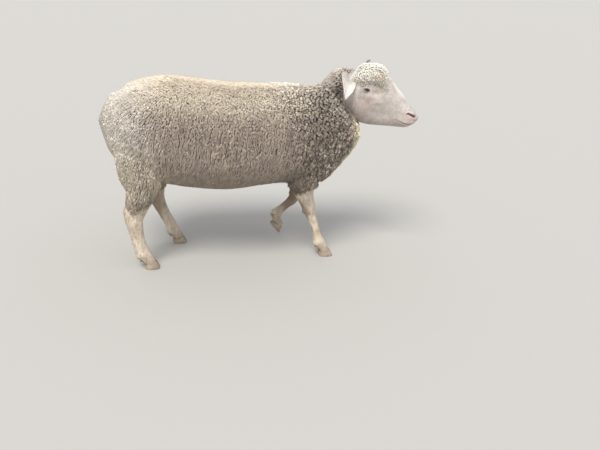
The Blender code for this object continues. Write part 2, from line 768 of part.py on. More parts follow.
def build_claw(leg, part_side):
    claw = claw_body(part_side)
    claw.data.transform(foot_matrix(leg))
    if leg["sole"][1] != 0.0:
        combine(claw, [half_space(Vector(), Vector((0.0, 0.0, -1.0)), 0.0)], "DIFFERENCE")
    return claw


def coronet_cut(leg):
    """The plane between a shank and its hoof."""
    turn = foot_matrix(leg)
    slope = Vector((-(CLAW_TOE_HEIGHT - CLAW_HEEL_HEIGHT) / (CLAW_LENGTH * CORONET_SHARE.x), 0.0, 1.0))
    middle = (CLAW_TOE_HEIGHT + CLAW_HEEL_HEIGHT) / 2 + CORONET_CLEARANCE
    middle = Vector((CORONET_SHIFT.x, 0.0, middle))
    return turn @ middle, turn.to_3x3() @ slope


def build_upper_leg(whole, name, leg):
    """A woolly thigh or arm, from the trunk's cut down to the cut above or at the middle joint."""
    trunk_point, trunk_normal = plane_of(leg["trunk_cut"])
    middle_point, middle_normal = plane_of(leg["middle_cut"])
    inward = Vector((0.0, -math.copysign(1.0, leg["y"][0]), 0.0))
    towards_middle = Vector((1.0 if name.startswith("hind") else -1.0, 0.0, 0.0))
    cuts = [half_space(trunk_point, trunk_normal), half_space(middle_point, -middle_normal),
            half_space(Vector(), inward), half_space(Vector(), towards_middle)]
    return combine(copy_of(whole), cuts, "DIFFERENCE")


def build_shank(name, leg):
    middle_point, middle_normal = plane_of(leg["middle_cut"])
    coronet_point, coronet_normal = coronet_cut(leg)
    cuts = [half_space(middle_point, middle_normal), half_space(coronet_point, -coronet_normal)]
    return combine(leg_body(name, leg, False), cuts, "DIFFERENCE")


def build_leg(whole, name, leg):
    end, side_word = name.split("_")
    upper_word = "thigh" if end == "hind" else "arm"
    finish(f"{end}_{upper_word}_{side_word}", build_upper_leg(whole, name, leg), "fleece")
    finish(f"{end}_shank_{side_word}", build_shank(name, leg), "pale_hair")
    outer = -1 if side_word == "right" else 1
    for part_side, part_word in ((outer, "outer"), (-outer, "inner")):
        finish(f"claw_{end}_{side_word}_{part_word}", build_claw(leg, part_side), "horn")


def build_trunk(whole):
    """The torso, the neck and the tail, parted from the whole by flat cuts."""
    neck_point, neck_normal = NECK_CUT
    cuts = [half_space(neck_point, neck_normal), tail_block(GAP)]
    for name in ("hind_right", "fore_right"):
        point, normal = plane_of(LEGS[name]["trunk_cut"])
        cuts.append(half_space(point, -normal))
    finish("torso", combine(copy_of(whole), cuts, "DIFFERENCE"), "fleece")
    cuts = [half_space(neck_point, -neck_normal), head_block()]
    cuts += [ear_body(side, EAR_CLEARANCE) for side in (-1, 1)]
    finish("neck", combine(copy_of(whole), cuts, "DIFFERENCE"), "fleece")
    finish("tail", combine(copy_of(whole), [tail_block(-GAP)], "INTERSECT"), "fleece")


def build():
    clear_scene()
    whole = whole_fleece()
    build_trunk(whole)
    for name, leg in LEGS.items():
        build_leg(whole, name, leg)
    bpy.data.objects.remove(whole, do_unlink=True)
    finish("head", build_head(), "pale_hair")
    for side, word in ((-1, "right"), (1, "left")):
        finish("ear_" + word, ear_body(side, 0.0), "pale_hair")
        finish("eye_" + word, eye_body(side, EYE_RADIUS), "eye")


build()
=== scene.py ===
# %% [markdown]
# # A walking Merino sheep, life size
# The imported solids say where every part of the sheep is. This script gives it its looks: one skin over
# trunk, neck, head and legs, a fleece of many small locks of wool, short hair on the face and legs, wet
# eyes and horny hooves. +X points to the sheep's head, +Y to its left side, +Z up, all in metres.

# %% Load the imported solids
import math

import bpy
import numpy as np
from mathutils import Matrix, Vector, kdtree
from mathutils.bvhtree import BVHTree


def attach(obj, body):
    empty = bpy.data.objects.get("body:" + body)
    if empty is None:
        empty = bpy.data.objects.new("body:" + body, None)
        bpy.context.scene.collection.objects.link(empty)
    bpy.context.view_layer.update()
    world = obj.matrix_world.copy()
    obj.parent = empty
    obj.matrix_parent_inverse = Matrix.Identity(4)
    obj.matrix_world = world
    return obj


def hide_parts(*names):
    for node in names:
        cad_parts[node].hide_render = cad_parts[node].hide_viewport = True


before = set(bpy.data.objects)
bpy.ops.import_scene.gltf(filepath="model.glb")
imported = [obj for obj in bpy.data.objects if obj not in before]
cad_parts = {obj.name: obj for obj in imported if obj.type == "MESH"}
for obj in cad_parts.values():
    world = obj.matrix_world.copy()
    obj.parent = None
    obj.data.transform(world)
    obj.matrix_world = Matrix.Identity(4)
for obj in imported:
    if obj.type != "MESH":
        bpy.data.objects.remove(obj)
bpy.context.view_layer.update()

# %% [markdown]
# ## Camera, floor and light
# The camera stands on the sheep's right side, a little behind its middle and about a metre up, and looks
# down slightly. It could be aimed with a Track To constraint, but three named directions also hold its
# small tilt, so they are written into its matrix.

# %% Camera
CAMERA_PLACE = Vector((-0.408, -2.301, 1.036))
CAMERA_LOOK = Vector((0.2249, 0.9022, -0.3681)).normalized()
CAMERA_ROLL = math.radians(3.3)
CAMERA_LENS = 39.0

camera_data = bpy.data.cameras.new("photo_camera")
camera_data.lens = CAMERA_LENS
camera = bpy.data.objects.new("photo_camera", camera_data)
bpy.context.scene.collection.objects.link(camera)
level_right = CAMERA_LOOK.cross(Vector((0, 0, 1))).normalized()
level_up = level_right.cross(CAMERA_LOOK)
camera_right = level_right * math.cos(CAMERA_ROLL) + level_up * math.sin(CAMERA_ROLL)
camera_up = level_up * math.cos(CAMERA_ROLL) - level_right * math.sin(CAMERA_ROLL)
turn = Matrix((camera_right, camera_up, -CAMERA_LOOK)).transposed().to_4x4()
camera.matrix_world = Matrix.Translation(CAMERA_PLACE) @ turn
bpy.context.scene.camera = camera

# %% Tools for selecting, shaping and shading
def deselect():
    if bpy.context.mode != "OBJECT":
        bpy.ops.object.mode_set(mode="OBJECT")
    bpy.ops.object.select_all(action="DESELECT")


def make_active(piece):
    deselect()
    piece.select_set(True)
    bpy.context.view_layer.objects.active = piece
    return piece


def apply_modifier(piece, kind, **settings):
    make_active(piece)
    modifier = piece.modifiers.new(kind.lower(), kind)
    for name, value in settings.items():
        setattr(modifier, name, value)
    bpy.ops.object.modifier_apply(modifier=modifier.name)
    return piece


def points_of(mesh):
    found = np.empty(len(mesh.vertices) * 3)
    mesh.vertices.foreach_get("co", found)
    return found.reshape(-1, 3)


def normals_of(mesh):
    found = np.empty(len(mesh.vertices) * 3, np.float32)
    mesh.vertices.foreach_get("normal", found)
    return found.reshape(-1, 3).astype(float)


def set_points(mesh, points):
    mesh.vertices.foreach_set("co", points.ravel())
    mesh.update()


def unit(vectors):
    return vectors / np.maximum(np.linalg.norm(vectors, axis=1), 1e-9)[:, None]


def edit_all(piece, step, **settings):
    """Runs one step of edit mode on the whole mesh."""
    make_active(piece)
    bpy.ops.object.mode_set(mode="EDIT")
    bpy.ops.mesh.select_all(action="SELECT")
    step(**settings)
    bpy.ops.object.mode_set(mode="OBJECT")


def shade_smooth(piece):
    make_active(piece)
    bpy.ops.object.shade_smooth()


def keep_values(mesh, name, values):
    """Keeps a number or a vector for each point, for the materials."""
    kind, field = ("FLOAT", "value") if values.ndim == 1 else ("FLOAT_VECTOR", "vector")
    mesh.attributes.new(name, kind, "POINT").data.foreach_set(field, values.astype(np.float32).ravel())


# %% Floor and light
FLOOR_SIZE = 120.0
FLOOR_COLOUR = (0.44, 0.425, 0.40, 1.0)
FLOOR_ROUGHNESS = 0.9

deselect()
bpy.ops.mesh.primitive_plane_add(size=FLOOR_SIZE, location=(0, 0, 0))
floor = bpy.context.object
floor.name = "floor"
floor_finish = bpy.data.materials.new("pale_floor")
floor_finish.use_nodes = True
floor_shader = floor_finish.node_tree.nodes["Principled BSDF"]
floor_shader.inputs["Base Color"].default_value = FLOOR_COLOUR
floor_shader.inputs["Roughness"].default_value = FLOOR_ROUGHNESS
floor.data.materials.append(floor_finish)

SUN_WAY = Vector((0.30, 0.50, -0.80))
SUN_SOFTNESS = math.radians(28)
SUN_STRENGTH = 3.1
SUN_COLOUR = (1.0, 0.975, 0.94)
SKY_STRENGTH = 0.86
SKY_COLOUR = (0.93, 0.96, 1.0, 1.0)

sun_data = bpy.data.lights.new("soft_sun", "SUN")
sun_data.energy = SUN_STRENGTH
sun_data.angle = SUN_SOFTNESS
sun_data.color = SUN_COLOUR
sun = bpy.data.objects.new("soft_sun", sun_data)
bpy.context.scene.collection.objects.link(sun)
sun.matrix_world = SUN_WAY.to_track_quat("-Z", "Y").to_matrix().to_4x4()
world = bpy.data.worlds.new("studio")
bpy.context.scene.world = world
world.use_nodes = True
sky = world.node_tree.nodes["Background"]
sky.inputs["Color"].default_value = SKY_COLOUR
sky.inputs["Strength"].default_value = SKY_STRENGTH
bpy.context.scene.view_settings.view_transform = "Standard"
print("lights:", [light.name for light in bpy.data.lights])

# %% [markdown]
# ## The sheep's measures
# The skin follows the same sections as the solids, so it sits in them everywhere. Where wool grows, the
# skin lies deeper by the length of the wool.

# %% Measures of the body
BODY_SHIFT = Vector((-0.135, 0.0, 0.0))
FLEECE_DEPTH = 0.020
WOOL_EDGE_HIND = 0.225
WOOL_EDGE_FORE = 0.284
WOOL_FULL_RISE = 0.10

# Trunk: x, height of the back, height of the belly, half width.
TORSO = (
    (-0.431, 0.545, 0.495, 0.030), (-0.420, 0.566, 0.450, 0.076), (-0.398, 0.592, 0.396, 0.118),
    (-0.360, 0.626, 0.354, 0.156), (-0.300, 0.656, 0.322, 0.180), (-0.200, 0.669, 0.288, 0.194),
    (-0.090, 0.660, 0.272, 0.203), (0.020, 0.648, 0.268, 0.207), (0.120, 0.648, 0.280, 0.203),
    (0.220, 0.646, 0.286, 0.187), (0.300, 0.640, 0.280, 0.166), (0.370, 0.622, 0.284, 0.142),
    (0.420, 0.590, 0.322, 0.116), (0.462, 0.550, 0.372, 0.084), (0.490, 0.510, 0.425, 0.045),
)

# Neck: top x and z, bottom x and z, half width, sideways shift.
NECK = (
    (0.200, 0.640, 0.430, 0.345, 0.150, 0.000), (0.290, 0.640, 0.484, 0.412, 0.136, 0.000),
    (0.345, 0.643, 0.504, 0.452, 0.110, 0.002), (0.385, 0.684, 0.508, 0.484, 0.084, 0.007),
    (0.415, 0.708, 0.508, 0.500, 0.072, 0.007), (0.445, 0.717, 0.511, 0.512, 0.062, 0.003),
    (0.484, 0.716, 0.518, 0.524, 0.054, -0.008),
)

# Legs: x, z, half length fore and aft, half width.
LEGS = {
    "hind_right": {"y": (-0.095, -0.119), "sole": (-0.267, 0.0, 0.0), "rows": (
        (-0.294, 0.430, 0.098, 0.070), (-0.293, 0.350, 0.086, 0.064), (-0.294, 0.295, 0.056, 0.050),
        (-0.308, 0.243, 0.039, 0.038), (-0.326, 0.200, 0.032, 0.027), (-0.324, 0.168, 0.0275, 0.0220),
        (-0.318, 0.130, 0.0235, 0.0185), (-0.308, 0.085, 0.0225, 0.0180), (-0.298, 0.057, 0.0245, 0.0205),
        (-0.284, 0.036, 0.0205, 0.0200), (-0.274, 0.020, 0.0200, 0.0190))},
    "hind_left": {"y": (0.095, 0.109), "sole": (-0.158, 0.0, 0.0), "rows": (
        (-0.265, 0.430, 0.095, 0.070), (-0.258, 0.350, 0.082, 0.062), (-0.252, 0.290, 0.060, 0.048),
        (-0.250, 0.240, 0.040, 0.036), (-0.248, 0.200, 0.031, 0.026), (-0.236, 0.168, 0.025, 0.021),
        (-0.217, 0.125, 0.0205, 0.0170), (-0.196, 0.083, 0.0200, 0.0170), (-0.186, 0.057, 0.0230, 0.0200),
        (-0.172, 0.036, 0.0195, 0.0200), (-0.164, 0.020, 0.0195, 0.0190))},
    "fore_right": {"y": (-0.085, -0.074), "sole": (0.390, 0.0, 0.0), "rows": (
        (0.280, 0.400, 0.072, 0.058), (0.280, 0.320, 0.050, 0.046), (0.288, 0.265, 0.037, 0.034),
        (0.302, 0.225, 0.027, 0.024), (0.313, 0.193, 0.0225, 0.0205), (0.323, 0.165, 0.0180, 0.0165),
        (0.337, 0.130, 0.0150, 0.0140), (0.351, 0.085, 0.0155, 0.0145), (0.361, 0.058, 0.0205, 0.0185),
        (0.375, 0.036, 0.0175, 0.0185), (0.384, 0.020, 0.0180, 0.0180))},
    "fore_left": {"y": (0.090, 0.119), "sole": (0.237, -48.0, 0.027), "rows": (
        (0.280, 0.400, 0.072, 0.058), (0.282, 0.320, 0.050, 0.046), (0.292, 0.265, 0.037, 0.034),
        (0.301, 0.225, 0.027, 0.024), (0.304, 0.190, 0.0225, 0.0205), (0.292, 0.163, 0.0200, 0.0175),
        (0.269, 0.142, 0.0150, 0.0140), (0.247, 0.123, 0.0155, 0.0145), (0.231, 0.106, 0.0195, 0.0185),
        (0.228, 0.088, 0.0170, 0.0180), (0.2345, 0.068, 0.0175, 0.0180), (0.241, 0.053, 0.0175, 0.0180))},
}
LEG_LEAN_END = 0.625
LEG_TOP_RISE, LEG_TOP_INWARD = 0.105, 0.035
TAIL_INSET, TAIL_HALF_DEPTH, TAIL_HALF_WIDTH = 0.018, 0.014, 0.020
TAIL_ROWS = ((-0.372, 0.592), (-0.390, 0.566), (-0.402, 0.528), (-0.405, 0.478), (-0.401, 0.440))

# %% Measures of the head
HEAD_ROOT = Vector((0.4635, -0.005, 0.0))
HEAD_YAW = math.radians(-22.0)
# Sections along the head's own heading: top s and z, bottom s and z, half width, and how much wider the
# top is.
HEAD = (
    (-0.050, 0.672, -0.050, 0.560, 0.044, 0.00),
    (-0.024, 0.685, -0.024, 0.550, 0.056, 0.00),
    (0.010, 0.702, 0.006, 0.532, 0.062, -0.04),
    (0.040, 0.708, 0.030, 0.518, 0.063, -0.02),
    (0.080, 0.706, 0.065, 0.509, 0.059, 0.02),
    (0.115, 0.694, 0.105, 0.506, 0.051, 0.02),
    (0.145, 0.673, 0.140, 0.506, 0.042, -0.04),
    (0.172, 0.644, 0.168, 0.507, 0.036, -0.12),
    (0.197, 0.615, 0.190, 0.508, 0.034, -0.16),
    (0.218, 0.591, 0.205, 0.509, 0.034, -0.12),
    (0.234, 0.573, 0.215, 0.512, 0.031, -0.05),
    (0.244, 0.561, 0.226, 0.517, 0.026, 0.00),
    (0.251, 0.552, 0.236, 0.525, 0.018, 0.00),
    (0.254, 0.545, 0.244, 0.532, 0.008, 0.00),
)
EYE_PLACE = np.array((0.058, 0.0505, 0.642))
EYE_RADIUS = 0.0135
HEAD_MATRIX = Matrix.Translation(BODY_SHIFT + HEAD_ROOT) @ Matrix.Rotation(HEAD_YAW, 4, "Z")
# The wool of the neck ends at two planes that meet behind the cheek. Their normals point off the head.
HEAD_CORNER = np.array((-0.036, 0.0, 0.612))
BACK_OF_HEAD = np.array((-0.98, 0.0, 0.20))
BACK_OF_JAW = np.array((-0.83, 0.0, -0.55))


def to_head(points):
    """Points of the world in the head's own frame: forward, left and up."""
    turn_back = np.array(HEAD_MATRIX.inverted())
    return points @ turn_back[:3, :3].T + turn_back[:3, 3]


def from_head(points):
    turn_out = np.array(HEAD_MATRIX)
    return points @ turn_out[:3, :3].T + turn_out[:3, 3]


def off_head(turned):
    """How far places of the head's frame lie behind the head or its jaw. Below nought they are in front."""
    away = turned - HEAD_CORNER
    return np.maximum(away @ BACK_OF_HEAD, away @ BACK_OF_JAW)


# %% [markdown]
# ## The skin's closed bodies
# A sculptor would block the animal out with simple masses and then fuse them. Here each mass is a closed
# tube of oval rings, because rings keep every width and height exact. Primitives pushed by hand would be
# slower to match.

# %% Lofts
def between(rows, steps):
    """The rows with others read from a smooth curve between them."""
    rows = np.array(rows, float)
    last = len(rows) - 1
    found = []
    for i in range(last):
        before, a, b, after = rows[max(i - 1, 0)], rows[i], rows[i + 1], rows[min(i + 2, last)]
        for k in range(steps):
            t = k / steps
            found.append(a + 0.5 * t * (b - before + t * (2 * before - 5 * a + 4 * b - after
                                                          + t * (3 * (a - b) + after - before))))
    return np.array(found + [rows[last]])


def oval(centre, up, side, count=32, power=2.0, taper=0.0):
    """A ring of a superellipse, whose top is wider than its bottom where taper is above nought."""
    angle = math.tau * (np.arange(count) + 0.5) / count
    across = np.copysign(np.abs(np.cos(angle)) ** (2 / power), np.cos(angle))
    along = np.copysign(np.abs(np.sin(angle)) ** (2 / power), np.sin(angle))
    across = across * (1 + taper * along)
    return np.array(centre) + np.outer(along, up) + np.outer(across, side)


def loft(name, rings):
    count = len(rings[0])
    faces = [tuple(range(count))[::-1]]
    for i in range(len(rings) - 1):
        for k in range(count):
            after = (k + 1) % count
            faces.append((i * count + k, i * count + after, (i + 1) * count + after, (i + 1) * count + k))
    faces.append(tuple(range((len(rings) - 1) * count, len(rings) * count)))
    mesh = bpy.data.meshes.new(name)
    mesh.from_pydata([tuple(p) for ring in rings for p in ring], [], faces)
    piece = bpy.data.objects.new(name, mesh)
    bpy.context.scene.collection.objects.link(piece)
    edit_all(piece, bpy.ops.mesh.normals_make_consistent, inside=False)
    return piece


# %% Masses of the trunk, neck, legs and tail
def torso_mass():
    middle = (TORSO[0][0] + TORSO[-1][0]) / 2
    shorter = 1.0 - 2 * FLEECE_DEPTH / (TORSO[-1][0] - TORSO[0][0])
    rings = []
    for x, top, bottom, half_width in between(TORSO, 3):
        centre = (middle + (x - middle) * shorter + BODY_SHIFT.x, 0.0, (top + bottom) / 2)
        up = (0.0, 0.0, max((top - bottom) / 2 - FLEECE_DEPTH, 0.01))
        rings.append(oval(centre, up, (0.0, max(half_width - FLEECE_DEPTH, 0.01), 0.0), power=2.25))
    return loft("torso_mass", rings)


def neck_mass():
    rings = []
    for top_x, top_z, low_x, low_z, half_width, shift in between(NECK, 3):
        top, low = np.array((top_x, shift, top_z)), np.array((low_x, shift, low_z))
        half = np.linalg.norm(top - low) / 2
        up = (top - low) / 2 * (half - FLEECE_DEPTH) / half
        centre = (top + low) / 2 + np.array(BODY_SHIFT)
        rings.append(oval(centre, up, (0.0, half_width - FLEECE_DEPTH, 0.0), power=2.1))
    return loft("neck_mass", rings)


def leg_rows(leg):
    """Centre, direction of travel across the leg, half length, half width and inset, down the leg."""
    rows = between(leg["rows"], 4)
    high, low = rows[0][1], rows[-1][1]
    hind = rows[0][0] < 0
    edge = WOOL_EDGE_HIND if hind else WOOL_EDGE_FORE
    found = []
    for i, (x, z, half_length, half_width) in enumerate(rows):
        share = min((high - z) / (high - low) / LEG_LEAN_END, 1.0)
        before, after = rows[max(i - 1, 0)], rows[min(i + 1, len(rows) - 1)]
        down = np.array((after[0] - before[0], 0.0, after[1] - before[1]))
        down /= np.linalg.norm(down)
        centre = np.array((x + BODY_SHIFT.x, leg["y"][0] + (leg["y"][1] - leg["y"][0]) * share, z))
        inset = FLEECE_DEPTH * min(max((z - edge) / WOOL_FULL_RISE, 0.0), 1.0)
        found.append((centre, np.array((-down[2], 0.0, down[0])), half_length - inset, half_width - inset))
    return found


def leg_mass(name):
    rows = leg_rows(LEGS[name])
    # A small first ring, high in the trunk, keeps the flat top of the tube from showing as a ledge.
    centre, forward, half_length, half_width = rows[0]
    top = centre + np.array((0.0, -np.sign(centre[1]) * LEG_TOP_INWARD, LEG_TOP_RISE))
    rows.insert(0, (top, forward, half_length * 0.6, half_width * 0.5))
    rings = [oval(centre, forward * half_length, (0.0, half_width, 0.0), 24)
             for centre, forward, half_length, half_width in rows]
    return loft(name + "_mass", rings)


def tail_mass():
    rings = []
    rows = between(TAIL_ROWS, 4)
    for i, (x, z) in enumerate(rows):
        step = rows[min(i + 1, len(rows) - 1)] - rows[max(i - 1, 0)]
        back = np.array((step[1], 0.0, -step[0])) / np.linalg.norm(step)
        centre = (x + BODY_SHIFT.x + TAIL_INSET, 0.0, z)
        rings.append(oval(centre, back * TAIL_HALF_DEPTH, (0.0, TAIL_HALF_WIDTH, 0.0), 16))
    return loft("tail_mass", rings)


# %% Fusing the masses
def fuse(name, masses, voxel, smooth_steps):
    """Joins closed bodies into one, as clay, and softens where they meet."""
    make_active(masses[0])
    for mass in masses:
        mass.select_set(True)
    bpy.ops.object.join()
    piece = bpy.context.object
    piece.name = piece.data.name = name
    piece.data.remesh_voxel_size = voxel
    bpy.ops.object.voxel_remesh()
    apply_modifier(piece, "SMOOTH", factor=0.5, iterations=smooth_steps)
    print(name, "faces:", len(piece.data.polygons))
    return piece


BODY_VOXEL, BODY_SMOOTHING = 0.005, 5
masses = [torso_mass(), neck_mass(), tail_mass()] + [leg_mass(name) for name in LEGS]
body = fuse("skin_body", masses, BODY_VOXEL, BODY_SMOOTHING)

# %% Softer and coarser trunk
BARE_LEG_HEIGHT = 0.27
TRUNK_SHARE = 0.20
TRUNK_SMOOTHING = 18
TUCK = 0.40


def eased(value, low, high):
    share = np.clip((value - low) / (high - low), 0.0, 1.0)
    return share * share * (3 - 2 * share)


woolly = body.vertex_groups.new(name="woolly")
for k in range(4):
    above = [v.index for v in body.data.vertices if v.co.z > BARE_LEG_HEIGHT + 0.015 * k]
    woolly.add(above, (k + 1) / 4, "REPLACE")
apply_modifier(body, "SMOOTH", factor=0.5, iterations=TRUNK_SMOOTHING, vertex_group="woolly")
# Where the neck runs into the head it draws in, so that only the head's own skin shows there.
turned = to_head(points_of(body.data))
inside = eased(-off_head(turned), -0.004, 0.014)[:, None]
axis = np.stack([turned[:, 0], np.zeros(len(turned)), np.full(len(turned), HEAD_CORNER[2])], axis=1)
set_points(body.data, from_head(turned + (axis - turned) * inside * TUCK))
apply_modifier(body, "DECIMATE", ratio=TRUNK_SHARE, vertex_group="woolly")
print("trunk under the wool, faces:", len(body.data.polygons))

# %% [markdown]
# ## Lower legs
# The bare legs show, so their surface gets more faces, and then the forms that lie under a sheep's leg
# skin: the point of the hock with its tendon, the broad knee, the groove of the cannon bone, and the
# fetlock.

# %% Finer lower legs
FINE_LEG_HEIGHT = 0.245


def refine(piece, chosen):
    """Cuts the chosen faces in four."""
    make_active(piece)
    bpy.ops.object.mode_set(mode="EDIT")
    bpy.ops.mesh.select_all(action="DESELECT")
    bpy.ops.object.mode_set(mode="OBJECT")
    piece.data.polygons.foreach_set("select", chosen)
    bpy.ops.object.mode_set(mode="EDIT")
    bpy.ops.mesh.select_mode(type="FACE")
    bpy.ops.mesh.subdivide(number_cuts=1, smoothness=0.6)
    bpy.ops.object.mode_set(mode="OBJECT")
    print(piece.name, "faces after refining:", len(piece.data.polygons))


def face_centres(mesh):
    found = np.empty(len(mesh.polygons) * 3, np.float32)
    mesh.polygons.foreach_get("center", found)
    return found.reshape(-1, 3).astype(float)


refine(body, face_centres(body.data)[:, 2] < FINE_LEG_HEIGHT)


def press(points, normals, centre, radii, amount):
    """Moves the skin near a place out along its normals, or in where the amount is below nought."""
    away = (points - np.array(centre)) / np.array(radii)
    weight = np.exp(-(away ** 2).sum(axis=1))
    return points + normals * (weight * amount)[:, None]


# %% Strokes on the lower legs
# Row of the leg, forward and side share of its half sizes, reach, and height of the stroke.
HIND_STROKES = (
    (3.8, -1.0, 0.0, (0.011, 0.010, 0.017), 0.0075),   # point of the hock
    (2.9, -0.45, 1.0, (0.013, 0.010, 0.024), -0.0050),  # hollow before the tendon
    (4.2, 1.0, 0.0, (0.012, 0.014, 0.014), 0.0020),    # front of the hock
    (4.6, 0.1, 1.0, (0.009, 0.009, 0.011), 0.0025),    # knobs at the hock's sides
    (8.0, -1.0, 0.0, (0.010, 0.014, 0.010), 0.0040),   # back of the fetlock
    (8.0, 0.0, 1.0, (0.010, 0.009, 0.010), 0.0016),    # sides of the fetlock
    (9.2, -1.0, 0.0, (0.008, 0.012, 0.009), -0.0030),  # hollow of the pastern
)
FORE_STROKES = (
    (4.1, 1.0, 0.0, (0.010, 0.015, 0.016), 0.0035),    # front of the knee
    (4.0, -1.0, 0.0, (0.008, 0.008, 0.009), 0.0045),   # small bone behind the knee
    (4.3, 0.2, 1.0, (0.011, 0.009, 0.014), 0.0016),    # sides of the knee
    (3.0, -0.2, 1.0, (0.012, 0.009, 0.020), -0.0022),  # above the knee
    (8.0, -1.0, 0.0, (0.009, 0.013, 0.009), 0.0040),   # back of the fetlock
    (8.0, 0.0, 1.0, (0.009, 0.008, 0.009), 0.0016),    # sides of the fetlock
    (9.2, -1.0, 0.0, (0.008, 0.012, 0.008), -0.0028),  # hollow of the pastern
)
CANNON_ROWS = np.arange(5.4, 7.4, 0.25)
CANNON_GROOVE = (0.0045, 0.007, 0.009), -0.0009


def leg_place(rows, row, forward_share, side_share):
    """A place on a leg, counted in rows of its sections."""
    centre, forward, half_length, half_width = rows[min(int(round(row * 4)), len(rows) - 1)]
    return centre + forward * half_length * forward_share + np.array((0.0, half_width * side_share, 0.0))


points, normals = points_of(body.data), normals_of(body.data)
for name, leg in LEGS.items():
    rows = leg_rows(leg)
    strokes = HIND_STROKES if name.startswith("hind") else FORE_STROKES
    for row, forward_share, side_share, radii, amount in strokes:
        for side in (-1, 1)[: 1 if side_share == 0.0 else 2]:
            place = leg_place(rows, row, forward_share, side_share * side)
            points = press(points, normals, place, radii, amount)
    for row in CANNON_ROWS:
        for side in (-1, 1):
            points = press(points, normals, leg_place(rows, row, -0.25, side), *CANNON_GROOVE)
set_points(body.data, points)

# %% [markdown]
# ## The head
# A sheep's head is a wedge: a broad skull with the eyes set on its sides, a straight bridge down to a
# narrow soft muzzle, and flat deep cheeks. The wedge is one loft. The ears are thin cupped leaves that
# grow from the poll, so they are fused to it before the voxel remesh and share its surface.

# %% Head and ear masses
EARS = {
    # root, reach from root to tip, and the way its hollow side faces
    "left": ((0.014, 0.042, 0.690), (0.36, 0.92, 0.36), (0.62, -0.35, -0.35)),
    "right": ((-0.006, -0.037, 0.680), (0.00, -0.82, -0.46), (0.55, -0.60, 0.35)),
}
EAR_LENGTH = 0.109
EAR_HALF_WIDTH = 0.033
EAR_THICKNESS = 0.0050
EAR_CUP = 0.014
EAR_DROOP = 0.012
EAR_UPPER_SHARE = 0.32


def head_mass():
    rings = []
    for top_s, top_z, low_s, low_z, half_width, taper in between(HEAD, 5):
        top, low = np.array((top_s, 0.0, top_z)), np.array((low_s, 0.0, low_z))
        ring = oval((top + low) / 2, (top - low) / 2, (0.0, half_width, 0.0), 48, 2.25, taper)
        rings.append(from_head(ring))
    return loft("head_mass", rings)


def ear_frame(side):
    root, reach, face = (np.array(v, float) for v in EARS[side])
    reach /= np.linalg.norm(reach)
    face -= reach * face.dot(reach)
    face /= np.linalg.norm(face)
    return root, reach, face, np.cross(reach, face)


def ear_mass(side, steps=26, across_steps=15):
    root, reach, face, across = ear_frame(side)
    upward = 1.0 if side == "right" else -1.0
    rings = []
    for t in np.linspace(-0.06, 0.985, steps):
        share = max(t, 0.0)
        width = EAR_HALF_WIDTH * max(math.sin(math.pi * (0.16 + 0.84 * share) ** 0.85), 0.08)
        cup = EAR_CUP * math.sin(math.pi * min(share * 0.9 + 0.12, 1.0))
        spine = root + reach * EAR_LENGTH * t - np.array((0.0, 0.0, EAR_DROOP * share * share))
        u = np.linspace(-1, 1, across_steps)
        reach_across = u * width * (1.0 + upward * EAR_UPPER_SHARE * u)
        bend = spine + np.outer(reach_across, across) + np.outer(cup * u * u, face)
        edge = np.outer(EAR_THICKNESS / 2 * np.sqrt(np.maximum(1.0 - 0.8 * u * u, 0.0)), face)
        rings.append(from_head(np.concatenate([bend + edge, (bend - edge)[::-1]])))
    return loft("ear_mass_" + side, rings)


HEAD_VOXEL, HEAD_SMOOTHING = 0.0029, 4
skull = head_mass()
skull_shape = BVHTree.FromObject(skull, bpy.context.evaluated_depsgraph_get())
head = fuse("skin_head", [skull, ear_mass("left"), ear_mass("right")], HEAD_VOXEL, HEAD_SMOOTHING)

# %% [markdown]
# ## Lines of the mouth and nostrils
# The lips meet in one line round the muzzle, and each nostril is a slit that ends in a hook. Both are
# short curves in the head's own frame. The mesh is cut finer along them and round the eyes before
# anything is pressed in.

# %% Mouth and nostril lines
# The slit of the left nostril, from its wide low front end to its narrow upper hook.
NOSTRIL_CURVE = ((0.2375, 0.0160, 0.5515), (0.2310, 0.0220, 0.5550), (0.2230, 0.0265, 0.5600),
                 (0.2155, 0.0285, 0.5635), (0.2105, 0.0290, 0.5615))
NOSTRIL_HALF_OPENING = (0.0044, 0.0024)
NOSTRIL_DEPTH = (0.0110, 0.0040)
MOUTH_FRONT = np.array((0.2475, 0.0, 0.5325))
MOUTH_CORNER = np.array((0.170, 0.0350, 0.5380))
MOUTH_SAG = 0.0105
MOUTH_STEPS = 90
head_tree = BVHTree.FromObject(head, bpy.context.evaluated_depsgraph_get())


def laid_on_head(line):
    """Places of the head's frame, moved to the nearest places of its surface."""
    return to_head(np.array([head_tree.find_nearest(Vector(place))[0] for place in from_head(line)]))


def lips_meet():
    """The line between the lips, from the right corner, down, round the front, and to the left corner."""
    angle = math.pi * (np.arange(MOUTH_STEPS + 1) / MOUTH_STEPS - 0.5)
    share = np.maximum(np.cos(angle), 0.0)
    along = MOUTH_CORNER[0] + (MOUTH_FRONT[0] - MOUTH_CORNER[0]) * share ** 0.8
    height = MOUTH_CORNER[2] + (MOUTH_FRONT[2] - MOUTH_CORNER[2]) * share - MOUTH_SAG * np.sin(math.pi * share)
    return laid_on_head(np.stack([along, MOUTH_CORNER[1] * np.sin(angle), height], axis=1))


def distance_to_line(points, line):
    """The nearest distance of each point to a chain of points, and where along it that is, from 0 to 1."""
    best = np.full(len(points), 1e9)
    share = np.zeros(len(points))
    for i, place in enumerate(line):
        length = np.linalg.norm(points - place, axis=1)
        closer = length < best
        best[closer] = length[closer]
        share[closer] = i / (len(line) - 1)
    return best, share


nostril_line = laid_on_head(between(NOSTRIL_CURVE, 8))
mouth_line = lips_meet()

# %% Finer eyes, nostrils and lips
MUZZLE_FROM = 0.188
SLIT_REACH = 0.0075
EYE_REACHES = (0.024, 0.0175, 0.0135)


